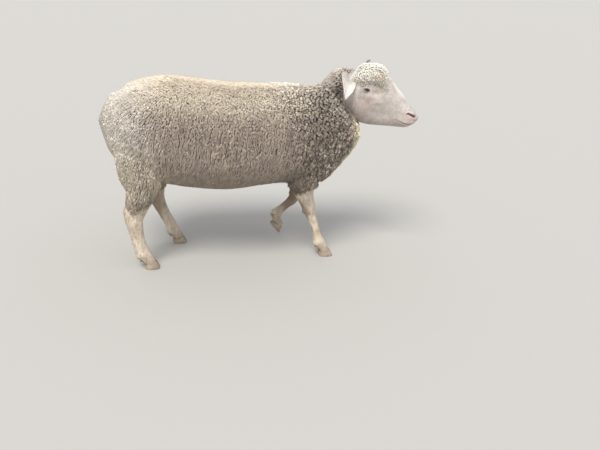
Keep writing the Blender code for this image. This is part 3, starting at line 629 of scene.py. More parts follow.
def near_eyes(places, reach):
    return (np.linalg.norm(places * (1, -1, 1) - EYE_PLACE, axis=1) < reach) | (
        np.linalg.norm(places - EYE_PLACE, axis=1) < reach)


def near_slits(places):
    """Close to the mouth's line or to a nostril."""
    gap, _ = distance_to_line(places, mouth_line[::3])
    for side in (-1, 1):
        gap = np.minimum(gap, distance_to_line(places, nostril_line * (1, side, 1))[0])
    return gap < SLIT_REACH


for level, reach in enumerate(EYE_REACHES):
    middles = to_head(face_centres(head.data))
    chosen = near_eyes(middles, reach)
    if level == 0:
        chosen |= middles[:, 0] > MUZZLE_FROM
    if level == 1:
        chosen |= near_slits(middles)
    refine(head, chosen)

# %% [markdown]
# ## Sculpting the head
# In sculpt mode these would be strokes of the inflate and crease brushes. Each stroke is written as a
# place in the head's own frame (forward, left, up), a reach and a height, so it is the same on both sides
# and on each run.

# %% Bones, cheeks, muzzle, nostrils and mouth
STROKES = (
    # place, radii, amount: positive swells, negative hollows.
    ((0.048, 0.060, 0.664), (0.018, 0.012, 0.009), 0.0045),   # brow over the eye
    ((0.078, 0.056, 0.652), (0.010, 0.010, 0.012), 0.0015),   # front of the orbit
    ((0.092, 0.050, 0.628), (0.012, 0.012, 0.010), -0.0030),  # hollow before the eye
    ((0.050, 0.062, 0.618), (0.022, 0.012, 0.007), 0.0022),   # cheekbone under the eye
    ((0.100, 0.050, 0.598), (0.026, 0.012, 0.007), 0.0022),   # cheekbone's run to the front
    ((0.030, 0.062, 0.565), (0.030, 0.020, 0.030), 0.0035),   # jaw muscle
    ((0.118, 0.045, 0.560), (0.024, 0.016, 0.022), -0.0045),  # hollow before the jaw muscle
    ((0.160, 0.038, 0.540), (0.026, 0.014, 0.014), 0.0010),   # side of the lower jaw
    ((0.165, 0.016, 0.645), (0.030, 0.009, 0.016), -0.0012),  # side of the nose bridge
    ((0.216, 0.025, 0.585), (0.012, 0.009, 0.010), -0.0012),  # dip above the nostril
    ((0.229, 0.024, 0.564), (0.010, 0.008, 0.006), 0.0030),   # upper wing of the nostril
    ((0.221, 0.028, 0.548), (0.010, 0.008, 0.006), 0.0022),   # lower wing of the nostril
    ((0.217, 0.026, 0.535), (0.018, 0.012, 0.007), 0.0018),   # upper lip
    ((0.205, 0.026, 0.516), (0.018, 0.014, 0.006), 0.0012),   # lower lip
    ((0.012, 0.040, 0.700), (0.016, 0.016, 0.014), 0.0025),   # root of the ear
)
MIDDLE_STROKES = (
    ((0.100, 0.0, 0.700), (0.035, 0.020, 0.020), 0.0012),     # forehead
    ((0.190, 0.0, 0.622), (0.040, 0.012, 0.020), 0.0016),     # bridge of the nose
    ((0.248, 0.0, 0.545), (0.008, 0.0016, 0.012), -0.0016),   # cleft of the upper lip
    ((0.226, 0.0, 0.508), (0.014, 0.014, 0.008), 0.0028),     # chin
    ((0.120, 0.0, 0.504), (0.050, 0.016, 0.012), -0.0040),    # hollow between the jaws
)

points = to_head(points_of(head.data))
normals = normals_of(head.data) @ np.array(HEAD_MATRIX)[:3, :3]
for centre, radii, amount in STROKES:
    for side in (-1, 1):
        points = press(points, normals, np.array(centre) * (1, side, 1), radii, amount)
for centre, radii, amount in MIDDLE_STROKES:
    points = press(points, normals, centre, radii, amount)

# %% Creases of the nostrils and lips
crease = np.zeros(len(points))
for side in (-1, 1):
    gap, share = distance_to_line(points, nostril_line * (1, side, 1))
    opening = NOSTRIL_HALF_OPENING[0] + (NOSTRIL_HALF_OPENING[1] - NOSTRIL_HALF_OPENING[0]) * share
    deep = NOSTRIL_DEPTH[0] + (NOSTRIL_DEPTH[1] - NOSTRIL_DEPTH[0]) * share
    slit = np.exp(-(gap / opening) ** 4)
    wing = np.exp(-((gap - opening * 2.0) / (opening * 0.8)) ** 2)
    points = points + normals * (wing * 0.0012 - slit * deep)[:, None]
    crease = np.maximum(crease, np.exp(-(gap / (opening * 0.9)) ** 4))

gap, share = distance_to_line(points, mouth_line)
fade = eased(0.5 - np.abs(share - 0.5), 0.0, 0.12)
groove = -0.0042 * np.exp(-(gap / 0.0016) ** 2)
lips = 0.0017 * np.exp(-((gap - 0.0048) / 0.0030) ** 2)
points = points + normals * ((groove + lips) * (0.3 + 0.7 * fade))[:, None]
crease = np.maximum(crease, 0.85 * fade * np.exp(-(gap / 0.0014) ** 2))
# These values also mark where the skin material paints shade in the slits.
keep_values(head.data, "crease", crease)

# %% [markdown]
# Under the topknot the skin is fuller, because short dense locks on a raised base make a smooth cap,
# where long locks on the bare skull would stand apart and show dark gaps.

# %% Fuller under the topknot
TOPKNOT_EDGE, TOPKNOT_EDGE_FORE, TOPKNOT_EDGE_FALL, TOPKNOT_EDGE_RISE = 0.661, 0.076, 0.34, 0.30
TOPKNOT_BACK, TOPKNOT_FRONT = -0.014, 0.140
TOPKNOT_FILL = 0.008
TOPKNOT_FRONT_FILL = 0.003
EAR_STANDS_OFF = 0.007


def topknot_height(turned):
    """How far a place of the head lies inside the topknot's lower edge, its front and its back."""
    s, n, z = turned.T
    edge = TOPKNOT_EDGE - TOPKNOT_EDGE_FALL * np.maximum(s - TOPKNOT_EDGE_FORE, 0.0)
    edge = edge + TOPKNOT_EDGE_RISE * np.maximum(0.02 - s, 0.0)
    ahead_of_back = s - TOPKNOT_BACK - 0.65 * (z - 0.66)
    behind_front = TOPKNOT_FRONT - 0.30 * np.abs(n) - s
    return np.minimum(z - edge, np.minimum(0.75 * behind_front, 1.7 * ahead_of_back))


def topknot_fill(turned):
    most = TOPKNOT_FILL + TOPKNOT_FRONT_FILL * eased(turned[:, 0], 0.07, 0.12)
    return eased(topknot_height(turned), 0.0, 0.030) * most


def off_skull(places):
    return np.array([skull_shape.find_nearest(Vector(place))[3] for place in places])


def on_ear(places):
    """Places of the world that stand well off the skull, which only the ears do."""
    return off_skull(places) > EAR_STANDS_OFF + topknot_fill(to_head(places))


raised = topknot_fill(points) * (1.0 - eased(off_skull(from_head(points)), 0.004, EAR_STANDS_OFF + 0.003))
points = points + normals * raised[:, None]
print("skin under the topknot raised by up to", round(float(raised.max()) * 1000, 1), "mm")

# %% [markdown]
# ## Eyelids
# The lids are the skin itself, drawn over the eyeball. Near each eye the skin is laid on a ball a little
# larger than the eye, and inside an almond-shaped opening it is turned in behind the eye, which leaves
# two real lids.

# %% Lids
LID_WALL = 0.0013
OPENING_LENGTH = 0.0092
OPENING_HEIGHT = 0.0054
OPENING_POWER = 1.7
OPENING_RAISE = 0.0004
LID_FOLD_REACH = 0.0120
LID_BLEND = 0.0012


def eye_axes(side):
    """The gaze, the direction along the slit of the eye and the direction up across it."""
    gaze = np.array((0.28, side, 0.05))
    gaze /= np.linalg.norm(gaze)
    slit = np.array((1.0, 0.0, -0.22))
    slit -= gaze * slit.dot(gaze)
    slit /= np.linalg.norm(slit)
    over = np.cross(gaze, slit) * side
    return gaze, slit, over if over[2] > 0 else -over


def seen_by_eye(places, side):
    """Places along the slit, across it and out, and how far each lies from the opening's middle."""
    gaze, slit, over = eye_axes(side)
    away = places - EYE_PLACE * (1, side, 1)
    x, y, out = away @ slit, away @ over, away @ gaze
    along, across = np.abs(x / OPENING_LENGTH), np.abs((y - OPENING_RAISE) / OPENING_HEIGHT)
    return x, y, out, along ** OPENING_POWER + across ** OPENING_POWER


for side in (-1, 1):
    gaze, slit, over = eye_axes(side)
    x, y, out, opening = seen_by_eye(points, side)
    spread = np.hypot(x, y)
    near = (spread < EYE_RADIUS * 1.9) & (out > -EYE_RADIUS * 0.3)
    ball = np.sqrt(np.maximum((EYE_RADIUS + LID_WALL) ** 2 - spread ** 2, 0.0))
    fold = -0.0010 * np.exp(-((spread - LID_FOLD_REACH) / 0.0014) ** 2) * eased(y, 0.0, 0.006)
    laid = (ball + out + np.sqrt((ball - out) ** 2 + LID_BLEND ** 2)) / 2 + fold
    laid = out + (laid - out) * (1.0 - eased(spread, EYE_RADIUS * 1.1, EYE_RADIUS * 1.7))
    inside = 1.0 - eased(opening, 0.80, 1.02)
    behind = np.sqrt(np.maximum(EYE_RADIUS ** 2 - spread ** 2, 0.0)) - 0.0050
    laid = laid + (behind - laid) * inside
    moved = EYE_PLACE * (1, side, 1) + np.outer(x, slit) + np.outer(y, over) + np.outer(laid, gaze)
    points[near] = moved[near]
set_points(head.data, from_head(points))

# %% One skin
head_shape = BVHTree.FromObject(head, bpy.context.evaluated_depsgraph_get())
make_active(body)
head.select_set(True)
bpy.ops.object.join()
skin = body
skin.name = skin.data.name = "skin"
shade_smooth(skin)
FLESH = ["torso", "neck", "head", "tail", "ear_left", "ear_right"]
for part in ("hind_thigh", "hind_shank", "fore_arm", "fore_shank"):
    FLESH += [part + "_left", part + "_right"]
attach(skin, "root")
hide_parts(*FLESH)
print("skin triangles:", sum(len(p.vertices) - 2 for p in skin.data.polygons))

# %% [markdown]
# ## Eyes
# A sheep's eye is a wet amber ball with a dark level slit for a pupil. The ball is a sphere turned so
# that its pole faces the gaze. Each point keeps its place in the eye's own frame as an attribute, and the
# colours are rings round that pole.

# %% Eyeballs
def eyeball(side, word):
    gaze, slit, over = (Vector(v) for v in eye_axes(side))
    turn = HEAD_MATRIX.to_3x3() @ Matrix((slit, over, gaze)).transposed()
    centre = HEAD_MATRIX @ Vector(EYE_PLACE * (1, side, 1))
    deselect()
    bpy.ops.mesh.primitive_uv_sphere_add(segments=48, ring_count=32, radius=EYE_RADIUS)
    ball = bpy.context.object
    ball.name = ball.data.name = "eyeball_" + word
    places = points_of(ball.data)
    # The clear front bulges a little over the iris.
    bulge = np.exp(-(np.hypot(places[:, 0], places[:, 1]) / 0.0075) ** 4) * (places[:, 2] > 0)
    places[:, 2] += bulge * 0.0006
    set_points(ball.data, places)
    keep_values(ball.data, "eye_place", places / EYE_RADIUS)
    ball.data.transform(Matrix.Translation(centre) @ turn.to_4x4())
    if turn.determinant() < 0:
        ball.data.flip_normals()
    shade_smooth(ball)
    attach(ball, "root")
    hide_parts("eye_" + word)
    return ball


eyeballs = [eyeball(-1, "right"), eyeball(1, "left")]
print("eyeballs:", [ball.name for ball in eyeballs])

# %% [markdown]
# The edge of each lid is a thin dark wet rim. It is a ring bent along the almond of the opening on the
# eyeball's front. A torus primitive gives the closed ring, and its points are then moved onto that line.

# %% Lid rims
RIM_RADIUS = 0.0012
RIM_STEPS, RIM_SIDES = 96, 12
RIM_THICKNESS = 0.2


def lid_rim(side, word):
    gaze, slit, over = eye_axes(side)
    deselect()
    bpy.ops.mesh.primitive_torus_add(major_segments=RIM_STEPS, minor_segments=RIM_SIDES,
                                     major_radius=1.0, minor_radius=RIM_THICKNESS)
    rim = bpy.context.object
    rim.name = rim.data.name = "lid_rim_" + word
    ring = points_of(rim.data)
    angle = np.arctan2(ring[:, 1], ring[:, 0])
    outward, height = (np.hypot(ring[:, 0], ring[:, 1]) - 1.0) / RIM_THICKNESS, ring[:, 2] / RIM_THICKNESS
    power = 2 / OPENING_POWER
    x = OPENING_LENGTH * np.copysign(np.abs(np.cos(angle)) ** power, np.cos(angle))
    y = OPENING_HEIGHT * np.copysign(np.abs(np.sin(angle)) ** power, np.sin(angle)) + OPENING_RAISE
    far = np.hypot(x, y)
    out = np.sqrt((EYE_RADIUS + 0.0003) ** 2 - far ** 2)
    middle = np.outer(x, slit) + np.outer(y, over) + np.outer(out, gaze)
    away = unit(np.outer(x, slit) + np.outer(y, over))
    ball_way = unit(middle)
    away = unit(away - ball_way * (away * ball_way).sum(axis=1)[:, None])
    placed = middle + (away * outward[:, None] + ball_way * height[:, None]) * RIM_RADIUS
    set_points(rim.data, from_head(placed + EYE_PLACE * (1, side, 1)))
    edit_all(rim, bpy.ops.mesh.normals_make_consistent, inside=False)
    shade_smooth(rim)
    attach(rim, "root")
    return rim


lid_rims = [lid_rim(-1, "right"), lid_rim(1, "left")]
print("lid rims:", len(lid_rims))

# %% [markdown]
# ## Hooves
# Each hoof has two claws. A claw is a cube drawn out to its length, narrowed to a toe in front and to the
# coronet above, then bevelled round. The outer wall bulges and the inner wall is flat, as in life.

# %% Claws
CLAW_LENGTH = 0.054
CLAW_WIDTH = 0.0205
CLAW_TOE_HEIGHT = 0.027
CLAW_HEEL_HEIGHT = 0.020
CLAW_SPLAY = math.radians(5.0)
CLAW_PARTING = 0.0026
CLAW_CUTS = 9
TOE_FLAT = 0.006


def foot_matrix(leg):
    x, tip, toe_height = leg["sole"]
    place = Matrix.Translation((x + BODY_SHIFT.x, leg["y"][1], toe_height))
    if tip == 0.0:
        return place
    toe = Vector((CLAW_LENGTH / 2 - TOE_FLAT, 0.0, 0.0))
    return place @ Matrix.Rotation(math.radians(-tip), 4, "Y") @ Matrix.Translation(-toe)


def claw(name, leg, part_side):
    """Half a hoof, drawn on z = 0 with its toe to +X, then placed on the foot."""
    deselect()
    bpy.ops.mesh.primitive_cube_add(size=2.0)
    piece = bpy.context.object
    piece.name = piece.data.name = name
    edit_all(piece, bpy.ops.mesh.subdivide, number_cuts=CLAW_CUTS)
    cube = points_of(piece.data)
    along, across, up = cube[:, 0], cube[:, 1] * 0.5 + 0.5, cube[:, 2] * 0.5 + 0.5
    # The outer wall is round from heel to toe, and the inner wall nearly straight.
    toward_toe = np.clip((along + 0.25) / 1.25, 0.0, 1.0)
    toward_heel = np.clip((-0.25 - along) / 0.75, 0.0, 1.0)
    narrowing = 0.93 * toward_toe ** 2.3 + 0.80 * toward_heel ** 2.6
    outer_wall = CLAW_WIDTH * np.sqrt(np.maximum(1.0 - narrowing, 0.0))
    inner_wall = CLAW_WIDTH * (0.03 + 0.10 * toward_toe ** 3 + 0.12 * toward_heel ** 3)
    y = inner_wall + (outer_wall - inner_wall) * across
    # Going up to the coronet the claw draws in, most at the toe, and its wall swells a little on the way.
    x = along * CLAW_LENGTH / 2 * (1.0 - 0.28 * up) - 0.0065 * up
    y = y * (1.0 - 0.16 * up + 0.05 * np.sin(math.pi * up)) + 0.0012 * up
    rise = CLAW_HEEL_HEIGHT + (CLAW_TOE_HEIGHT - CLAW_HEEL_HEIGHT) * (along + 1) / 2
    z = up * rise - 0.0015 * up * (2 * across - 1) ** 2
    set_points(piece.data, np.stack([x, y, z], axis=1))
    apply_modifier(piece, "SUBSURF", levels=1, render_levels=1)
    off_middle = CLAW_PARTING / 2 + CLAW_LENGTH / 2 * math.sin(CLAW_SPLAY)
    piece.data.transform(Matrix.Translation((0.0, off_middle, 0.0)) @ Matrix.Rotation(CLAW_SPLAY, 4, "Z"))
    if part_side < 0:
        piece.data.transform(Matrix.Diagonal((1.0, -1.0, 1.0, 1.0)))
        piece.data.flip_normals()
    keep_values(piece.data, "claw_place", points_of(piece.data))
    piece.data.transform(foot_matrix(leg))
    places = points_of(piece.data)
    places[:, 2] = np.maximum(places[:, 2], 0.0)
    set_points(piece.data, places)
    make_active(piece)
    bpy.ops.object.shade_smooth()
    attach(piece, "root")
    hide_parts(name.replace("hoof", "claw"))
    return piece


# %% All the claws
claws = []
for leg_name, leg in LEGS.items():
    outer = -1 if leg_name.endswith("right") else 1
    for part_side, part_word in ((outer, "outer"), (-outer, "inner")):
        claws.append(claw(f"hoof_{leg_name}_{part_word}", leg, part_side))
print("claws:", len(claws))

# %% [markdown]
# Behind each fetlock sit two small dewclaws. Each is a sphere drawn out to a short blunt cone.

# %% Dewclaws
DEWCLAW_SIZE = (0.0046, 0.0040, 0.0068)
DEWCLAW_APART = 0.0095
DEWCLAW_ROW = 8.5
DEWCLAW_GRAIN = 0.01

dewclaws = []
for leg_name, leg in LEGS.items():
    rows = leg_rows(leg)
    centre, forward, half_length, _ = rows[int(DEWCLAW_ROW * 4)]
    down = np.array((-forward[2], 0.0, forward[0]))
    down *= -np.sign(down[2])
    back_way = Vector(-forward * 0.8 + down * 0.6)
    for side in (-1, 1):
        place = centre - forward * (half_length - 0.0005) + np.array((0.0, side * DEWCLAW_APART, 0.0))
        deselect()
        bpy.ops.mesh.primitive_uv_sphere_add(segments=20, ring_count=12, radius=1.0)
        dewclaw = bpy.context.object
        ball = points_of(dewclaw.data)
        # The far half draws in to a blunt end.
        ball[:, :2] *= (1.0 - 0.35 * np.clip(ball[:, 2], 0, 1) ** 1.5)[:, None]
        set_points(dewclaw.data, ball * np.array(DEWCLAW_SIZE))
        turn = back_way.to_track_quat("Z", "Y").to_matrix().to_4x4()
        dewclaw.data.transform(Matrix.Translation(place) @ turn)
        keep_values(dewclaw.data, "claw_place", ball * DEWCLAW_GRAIN)
        dewclaws.append(dewclaw)
make_active(dewclaws[0])
for dewclaw in dewclaws:
    dewclaw.select_set(True)
bpy.ops.object.join()
dewclaws = bpy.context.object
dewclaws.name = dewclaws.data.name = "dewclaws"
shade_smooth(dewclaws)
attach(dewclaws, "root")

# %% [markdown]
# ## Where the wool grows
# Locks are set on the skin in a random but even scatter. The skin is unwrapped once, and each lock keeps
# the place of its root on that unwrap, so a later bake finds one small patch for each lock.

# %% Scattering roots over the skin
UNWRAP_ANGLE = math.radians(66)

edit_all(skin, bpy.ops.uv.smart_project, angle_limit=UNWRAP_ANGLE, island_margin=0.001)
skin.data.calc_loop_triangles()
TRIANGLES = np.empty(len(skin.data.loop_triangles) * 3, np.int32)
skin.data.loop_triangles.foreach_get("vertices", TRIANGLES)
TRIANGLES = TRIANGLES.reshape(-1, 3)
TRIANGLE_LOOPS = np.empty(TRIANGLES.size, np.int32)
skin.data.loop_triangles.foreach_get("loops", TRIANGLE_LOOPS)
SKIN_POINTS, SKIN_NORMALS = points_of(skin.data), normals_of(skin.data)
unwrap = np.empty(len(skin.data.loops) * 2, np.float32)
skin.data.uv_layers.active.data.foreach_get("uv", unwrap)
TRIANGLE_UVS = unwrap.reshape(-1, 2)[TRIANGLE_LOOPS].reshape(-1, 3, 2)
skin.data.uv_layers.remove(skin.data.uv_layers.active)
BODY_VERTEX_COUNT = len(SKIN_POINTS) - len(points)

DARTS = 5
CELL_SHARE = 1.12


def scatter(spacing, wanted, seed):
    """Roots about this far apart where wanted says so: places, normals and places on the unwrap."""
    rng = np.random.default_rng(seed)
    corners = SKIN_POINTS[TRIANGLES]
    area = np.linalg.norm(np.cross(corners[:, 1] - corners[:, 0], corners[:, 2] - corners[:, 0]), axis=1) / 2
    area = area * wanted(corners.mean(axis=1), TRIANGLES[:, 0] >= BODY_VERTEX_COUNT)
    count = int(area.sum() / spacing ** 2 * DARTS)
    chosen = rng.choice(len(area), count, p=area / area.sum())
    a, b = np.sort(rng.random((2, count)), axis=0)
    shares = np.stack([a, b - a, 1 - b], axis=1)
    places = (corners[chosen] * shares[:, :, None]).sum(axis=1)
    normals = (SKIN_NORMALS[TRIANGLES[chosen]] * shares[:, :, None]).sum(axis=1)
    normals /= np.linalg.norm(normals, axis=1)[:, None]
    uvs = (TRIANGLE_UVS[chosen] * shares[:, :, None]).sum(axis=1)
    cells = np.floor(places / (spacing * CELL_SHARE)).astype(int)
    _, first = np.unique(cells, axis=0, return_index=True)
    first = rng.permutation(first)
    return places[first], normals[first], uvs[first]


# %% [markdown]
# ## One lock of wool
# A lock is a thin tapered strip with a three-sided section. It stands out of the skin, bends over and
# ends along the lie of the coat. Hair curves would be simpler, but the model has to keep its wool as
# solid mesh, so all locks of a region are built at once as arrays of points.

# %% Building locks
PATCH = 0.003
STRAIGHT = (0.0, 0.58)
CURLY = (0.0, 0.42, 0.76)


def piece_from_arrays(name, places, triangles, uvs, tone, along):
    mesh = bpy.data.meshes.new(name)
    mesh.vertices.add(len(places))
    mesh.vertices.foreach_set("co", places.astype(np.float32).ravel())
    mesh.loops.add(triangles.size)
    mesh.loops.foreach_set("vertex_index", triangles.astype(np.int32).ravel())
    mesh.polygons.add(len(triangles))
    mesh.polygons.foreach_set("loop_start", np.arange(0, triangles.size, 3, dtype=np.int32))
    mesh.update(calc_edges=True)
    layer = mesh.uv_layers.new(name="OFBake")
    layer.data.foreach_set("uv", uvs[triangles.ravel()].astype(np.float32).ravel())
    keep_values(mesh, "tone", tone)
    keep_values(mesh, "along", along)
    mesh.shade_smooth()
    piece = bpy.data.objects.new(name, mesh)
    bpy.context.scene.collection.objects.link(piece)
    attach(piece, "root")
    return piece


# %% Where each lock runs
def centre_lines(coat, steps, rng):
    """Where each lock's middle is at each step: rising first, leaning later, drawn to its bunch and curling."""
    across = unit(np.cross(coat["lie"], coat["normals"]))
    phase = rng.random(len(across)) * math.tau
    centres = []
    for t in steps:
        rise = coat["depth"] * math.sin(t * math.pi / 2) ** 0.8 - 0.002 * (1 - t)
        centre = coat["roots"] + coat["normals"] * rise[:, None]
        centre = centre + coat["lie"] * (coat["lean"] * t ** 1.6)[:, None] + coat["pull"] * t ** 1.4
        swing = coat["curl"] * t * np.sin(phase + t * coat["turns"] * math.tau)
        lift = coat["curl"] * t * np.cos(phase + t * coat["turns"] * math.tau) * 0.6
        centres.append(centre + across * swing[:, None] + coat["normals"] * lift[:, None])
    return np.stack(centres, axis=1), across


def lock_faces(rings, sides):
    faces = []
    for i in range(rings - 1):
        for k in range(sides):
            low, low_after = i * sides + k, i * sides + (k + 1) % sides
            faces += [(low, low_after, low_after + sides), (low, low_after + sides, low + sides)]
    top = (rings - 1) * sides
    faces += [(top + k, top + (k + 1) % sides, rings * sides) for k in range(sides)]
    faces += [(0, k + 1, k) for k in range(1, sides - 1)]
    return np.array(faces)


# %% All locks of a region in one mesh
def locks(name, coat, steps=STRAIGHT, flat=0.7, sides=3, seed=0):
    """One closed strip for each root of the coat, all in one mesh."""
    rng = np.random.default_rng(seed)
    count = len(coat["roots"])
    centres, across = centre_lines(coat, steps + (1.0,), rng)
    twist = rng.uniform(0, math.tau, count)
    angles = math.tau * np.arange(sides) / sides
    rings = []
    for i, t in enumerate(steps):
        ahead = unit(centres[:, i + 1] - centres[:, max(i - 1, 0)])
        facing = unit(np.cross(ahead, across))
        side_way = across * np.cos(twist)[:, None] + facing * np.sin(twist)[:, None]
        face_way = facing * np.cos(twist)[:, None] - across * np.sin(twist)[:, None]
        size = coat["half_width"] * (0.8 + 0.4 * t * (t < 0.7))
        sideways = side_way[:, None, :] * (size[:, None] * np.cos(angles))[:, :, None]
        faceways = face_way[:, None, :] * (size[:, None] * flat * np.sin(angles))[:, :, None]
        rings.append(centres[:, i, None, :] + sideways + faceways)
    places = np.concatenate(rings + [centres[:, -1:, :]], axis=1).reshape(-1, 3)
    per_lock = len(steps) * sides + 1
    starts = np.arange(count)[:, None, None] * per_lock
    triangles = (starts + lock_faces(len(steps), sides)[None]).reshape(-1, 3)
    along = np.tile(np.append(np.repeat(steps, sides), 1.0), count)
    spread = np.tile(np.append(np.tile(np.cos(angles), len(steps)), 0.0), count)
    patch = np.stack([spread, along * 2 - 1], axis=1) * PATCH / 2
    piece = piece_from_arrays(name, places, triangles, np.repeat(coat["uvs"], per_lock, axis=0) + patch,
                              np.repeat(coat["tone"], per_lock), along)
    print(name, "locks:", count, "triangles:", len(triangles))
    return piece


def part_of(coat, rows):
    return {key: values[rows] if isinstance(values, np.ndarray) else values for key, values in coat.items()}


# %% Which way the coat lies
PARTING_WIDTH = 0.07


def along_skin(way, normals):
    return unit(way - normals * (way * normals).sum(axis=1)[:, None])


def coat_at(roots, normals, uvs, way, turns, curl=0.0):
    """What all locks need: where they stand, which way they lie and how they curl."""
    return {"roots": roots, "normals": normals, "uvs": uvs, "lie": along_skin(way, normals),
            "turns": turns, "curl": curl}


def tips_of(coat):
    """Where the tips would be without curl and bunching."""
    return coat["roots"] + coat["normals"] * coat["depth"][:, None] + coat["lie"] * coat["lean"][:, None]


def head_way(turned, forward, outward, up):
    """A direction of the head's frame, mirrored on its right side, in the world."""
    way = np.tile(np.array((forward, outward, up)), (len(turned), 1))
    way[:, 1] *= np.sign(turned[:, 1])
    return way @ np.array(HEAD_MATRIX)[:3, :3].T


def fleece_way(roots):
    """Down and a little back along the body, and outward over the back."""
    way = np.tile(np.array((-0.30, 0.0, -1.0)), (len(roots), 1))
    way[:, 1] = 0.40 * np.tanh(roots[:, 1] / PARTING_WIDTH)
    return way + np.random.default_rng(3).normal(0.0, 0.12, way.shape)


# %% Locks that gather in bunches
def gather(coat, bunch, upright, strength, seed):
    """How far each tip is drawn to its bunch's, and a tone for each bunch. Upright stretches the bunches."""
    rng = np.random.default_rng(seed)
    scaled = coat["roots"] * np.array((1.0, 1.0, 1.0 / upright))
    _, first = np.unique(np.floor(scaled / bunch).astype(int), axis=0, return_index=True)
    middles = scaled[first] + rng.normal(0.0, bunch * 0.25, (len(first), 3))
    tree = kdtree.KDTree(len(first))
    for k, place in enumerate(middles):
        tree.insert(place, k)
    tree.balance()
    nearest = np.array([tree.find(place)[1] for place in scaled])
    tips = tips_of(coat)
    draw = tips[first[nearest]] - tips
    draw -= coat["lie"] * ((draw * coat["lie"]).sum(axis=1) * 0.6)[:, None]
    force = strength * rng.uniform(0.5, 1.3, len(first))[nearest]
    return draw * np.clip(force, 0.0, 0.95)[:, None], rng.normal(0.0, 1.0, len(first))[nearest]


# %% [markdown]
# ## The fleece
# This sheep is in short wool. On the flank the locks hang in fine upright streaks that grow longer to the
# belly, on the rump and back they lie close and smooth, and on the neck and shoulder they are small tight
# curls with dark gaps. The same lock does for all, with its size and bunching changed by where it grows.

# %% Edge of the wool on the legs
EDGE_RAG = 0.010
HOCK_SLOPE = 0.55
HOCK_LOW = 0.012
HOCK_RISE = 2.6
ELBOW_SLOPE = 0.35
LEG_REACH = (-0.05, 0.10)
HIND_RIGHT_MIDDLE, HIND_LEFT_MIDDLE, FORE_MIDDLE = -0.452, -0.385, 0.166


def wool_share(places, on_head, rag=0.0):
    """How long the wool is: nought below its edge on the legs, rising to one on the trunk."""
    x, y, z = places.T
    hind = x < -0.08
    middle = np.where(hind, np.where(y < 0, HIND_RIGHT_MIDDLE, HIND_LEFT_MIDDLE), FORE_MIDDLE)
    slope = np.where(hind, HOCK_SLOPE, ELBOW_SLOPE)
    ahead = np.clip(x - middle, *LEG_REACH)
    behind = np.where(hind, HOCK_RISE * np.maximum(-HOCK_LOW - ahead, 0.0), 0.0)
    edge = np.where(hind, WOOL_EDGE_HIND, WOOL_EDGE_FORE) + ahead * slope + behind + rag
    on_leg = np.clip((z - edge) / WOOL_FULL_RISE, 0.0, 1.0)
    trunk_x, _, trunk_bottom, _ = np.array(TORSO).T
    belly_line = np.interp(x - BODY_SHIFT.x, trunk_x, trunk_bottom) + FLEECE_DEPTH
    on_trunk = eased(z - belly_line, -0.014, -0.002)
    return np.where(on_head, 0.0, np.maximum(on_leg, on_trunk))


# %% Wool round the head and ears
WOOL_OVER_HEAD = 0.002
HEAD_REGION = ((-0.045, -0.085, 0.47), (1.0, 0.085, 1.0))


def clear_of_head(coat):
    """Rows of the coat that grow behind the head's planes and whose tips stay out of the head."""
    tips = tips_of(coat) + coat["pull"]
    turned = to_head(coat["roots"])
    keep = off_head(turned) > -WOOL_OVER_HEAD
    beside_head = (turned > HEAD_REGION[0]).all(axis=1) & (turned < HEAD_REGION[1]).all(axis=1)
    for i in np.flatnonzero(keep & beside_head):
        found, normal, _, _ = head_shape.find_nearest(Vector(tips[i]))
        keep[i] = (Vector(tips[i]) - found).dot(normal) > 0.0
    return keep


def ear_clearance(places):
    """The wool is short round the ears, so that they stand free of it."""
    turned = to_head(places)
    share = np.ones(len(places))
    for side in EARS:
        root, reach, _, _ = ear_frame(side)
        line = root + np.outer(np.linspace(0.0, 0.9, 16) * EAR_LENGTH, reach)
        gap, _ = distance_to_line(turned, line)
        share = np.minimum(share, 0.45 + 0.55 * eased(gap, 0.010, 0.032))
    return share


# %% Sizes of the fleece by region
FLEECE_SPACING = 0.0031
FLEECE_HALF_WIDTH = 0.0017
STREAK_WIDTH, STREAK_STRETCH = 0.0072, 4.2
CURL_WIDTH = 0.0112
NECK_THINS = 0.030


def fleece_here(places, on_head):
    return wool_share(places, on_head, -EDGE_RAG) > 0.0


roots, normals, uvs = scatter(FLEECE_SPACING, fleece_here, 11)
rng = np.random.default_rng(5)
share = wool_share(roots, np.zeros(len(roots), bool), rng.normal(0.0, EDGE_RAG * 0.5, len(roots)))
roots, normals, uvs, share = (values[share > 0.0] for values in (roots, normals, uvs, share))
x, y, z = roots.T
curly = eased(x + (z - 0.45) * 0.30, 0.02, 0.16) * (1.0 - 0.7 * eased(z, 0.60, 0.67))
rump = 1.0 - eased(x, -0.52, -0.42)
belly = 1.0 - eased(z, 0.29, 0.42)
back = eased(normals[:, 2], 0.35, 0.80)
smooth = np.maximum(rump, back) * (1.0 - curly)
coat = coat_at(roots, normals, uvs, fleece_way(roots), 1.1, 0.0008 + 0.0020 * curly)
length = np.where(x > 0.0, 0.0025 + 0.0175 * share ** 1.1, 0.0060 + 0.0140 * share ** 0.7)
by_head = (1.0 - eased(off_head(to_head(roots)), 0.0, NECK_THINS)) * (1.0 - eased(z, 0.62, 0.67))
length = length * (1.0 - 0.5 * by_head)
coat["depth"] = length * rng.uniform(0.88, 1.06, len(roots)) * ear_clearance(roots)
coat["lean"] = (0.014 + 0.007 * belly - 0.005 * curly + 0.005 * smooth) * (0.55 + 0.45 * share)
coat["lean"] = coat["lean"] * rng.uniform(0.75, 1.2, len(roots))
thicker = 1.0 + 0.12 * curly + 0.25 * smooth
coat["half_width"] = FLEECE_HALF_WIDTH * rng.uniform(0.8, 1.2, len(roots)) * thicker
strength = 0.40 + 0.42 * curly - 0.28 * smooth
pull_streak, tone_streak = gather(coat, STREAK_WIDTH, STREAK_STRETCH, strength, 21)
pull_curl, tone_curl = gather(coat, CURL_WIDTH, 1.0, strength, 22)
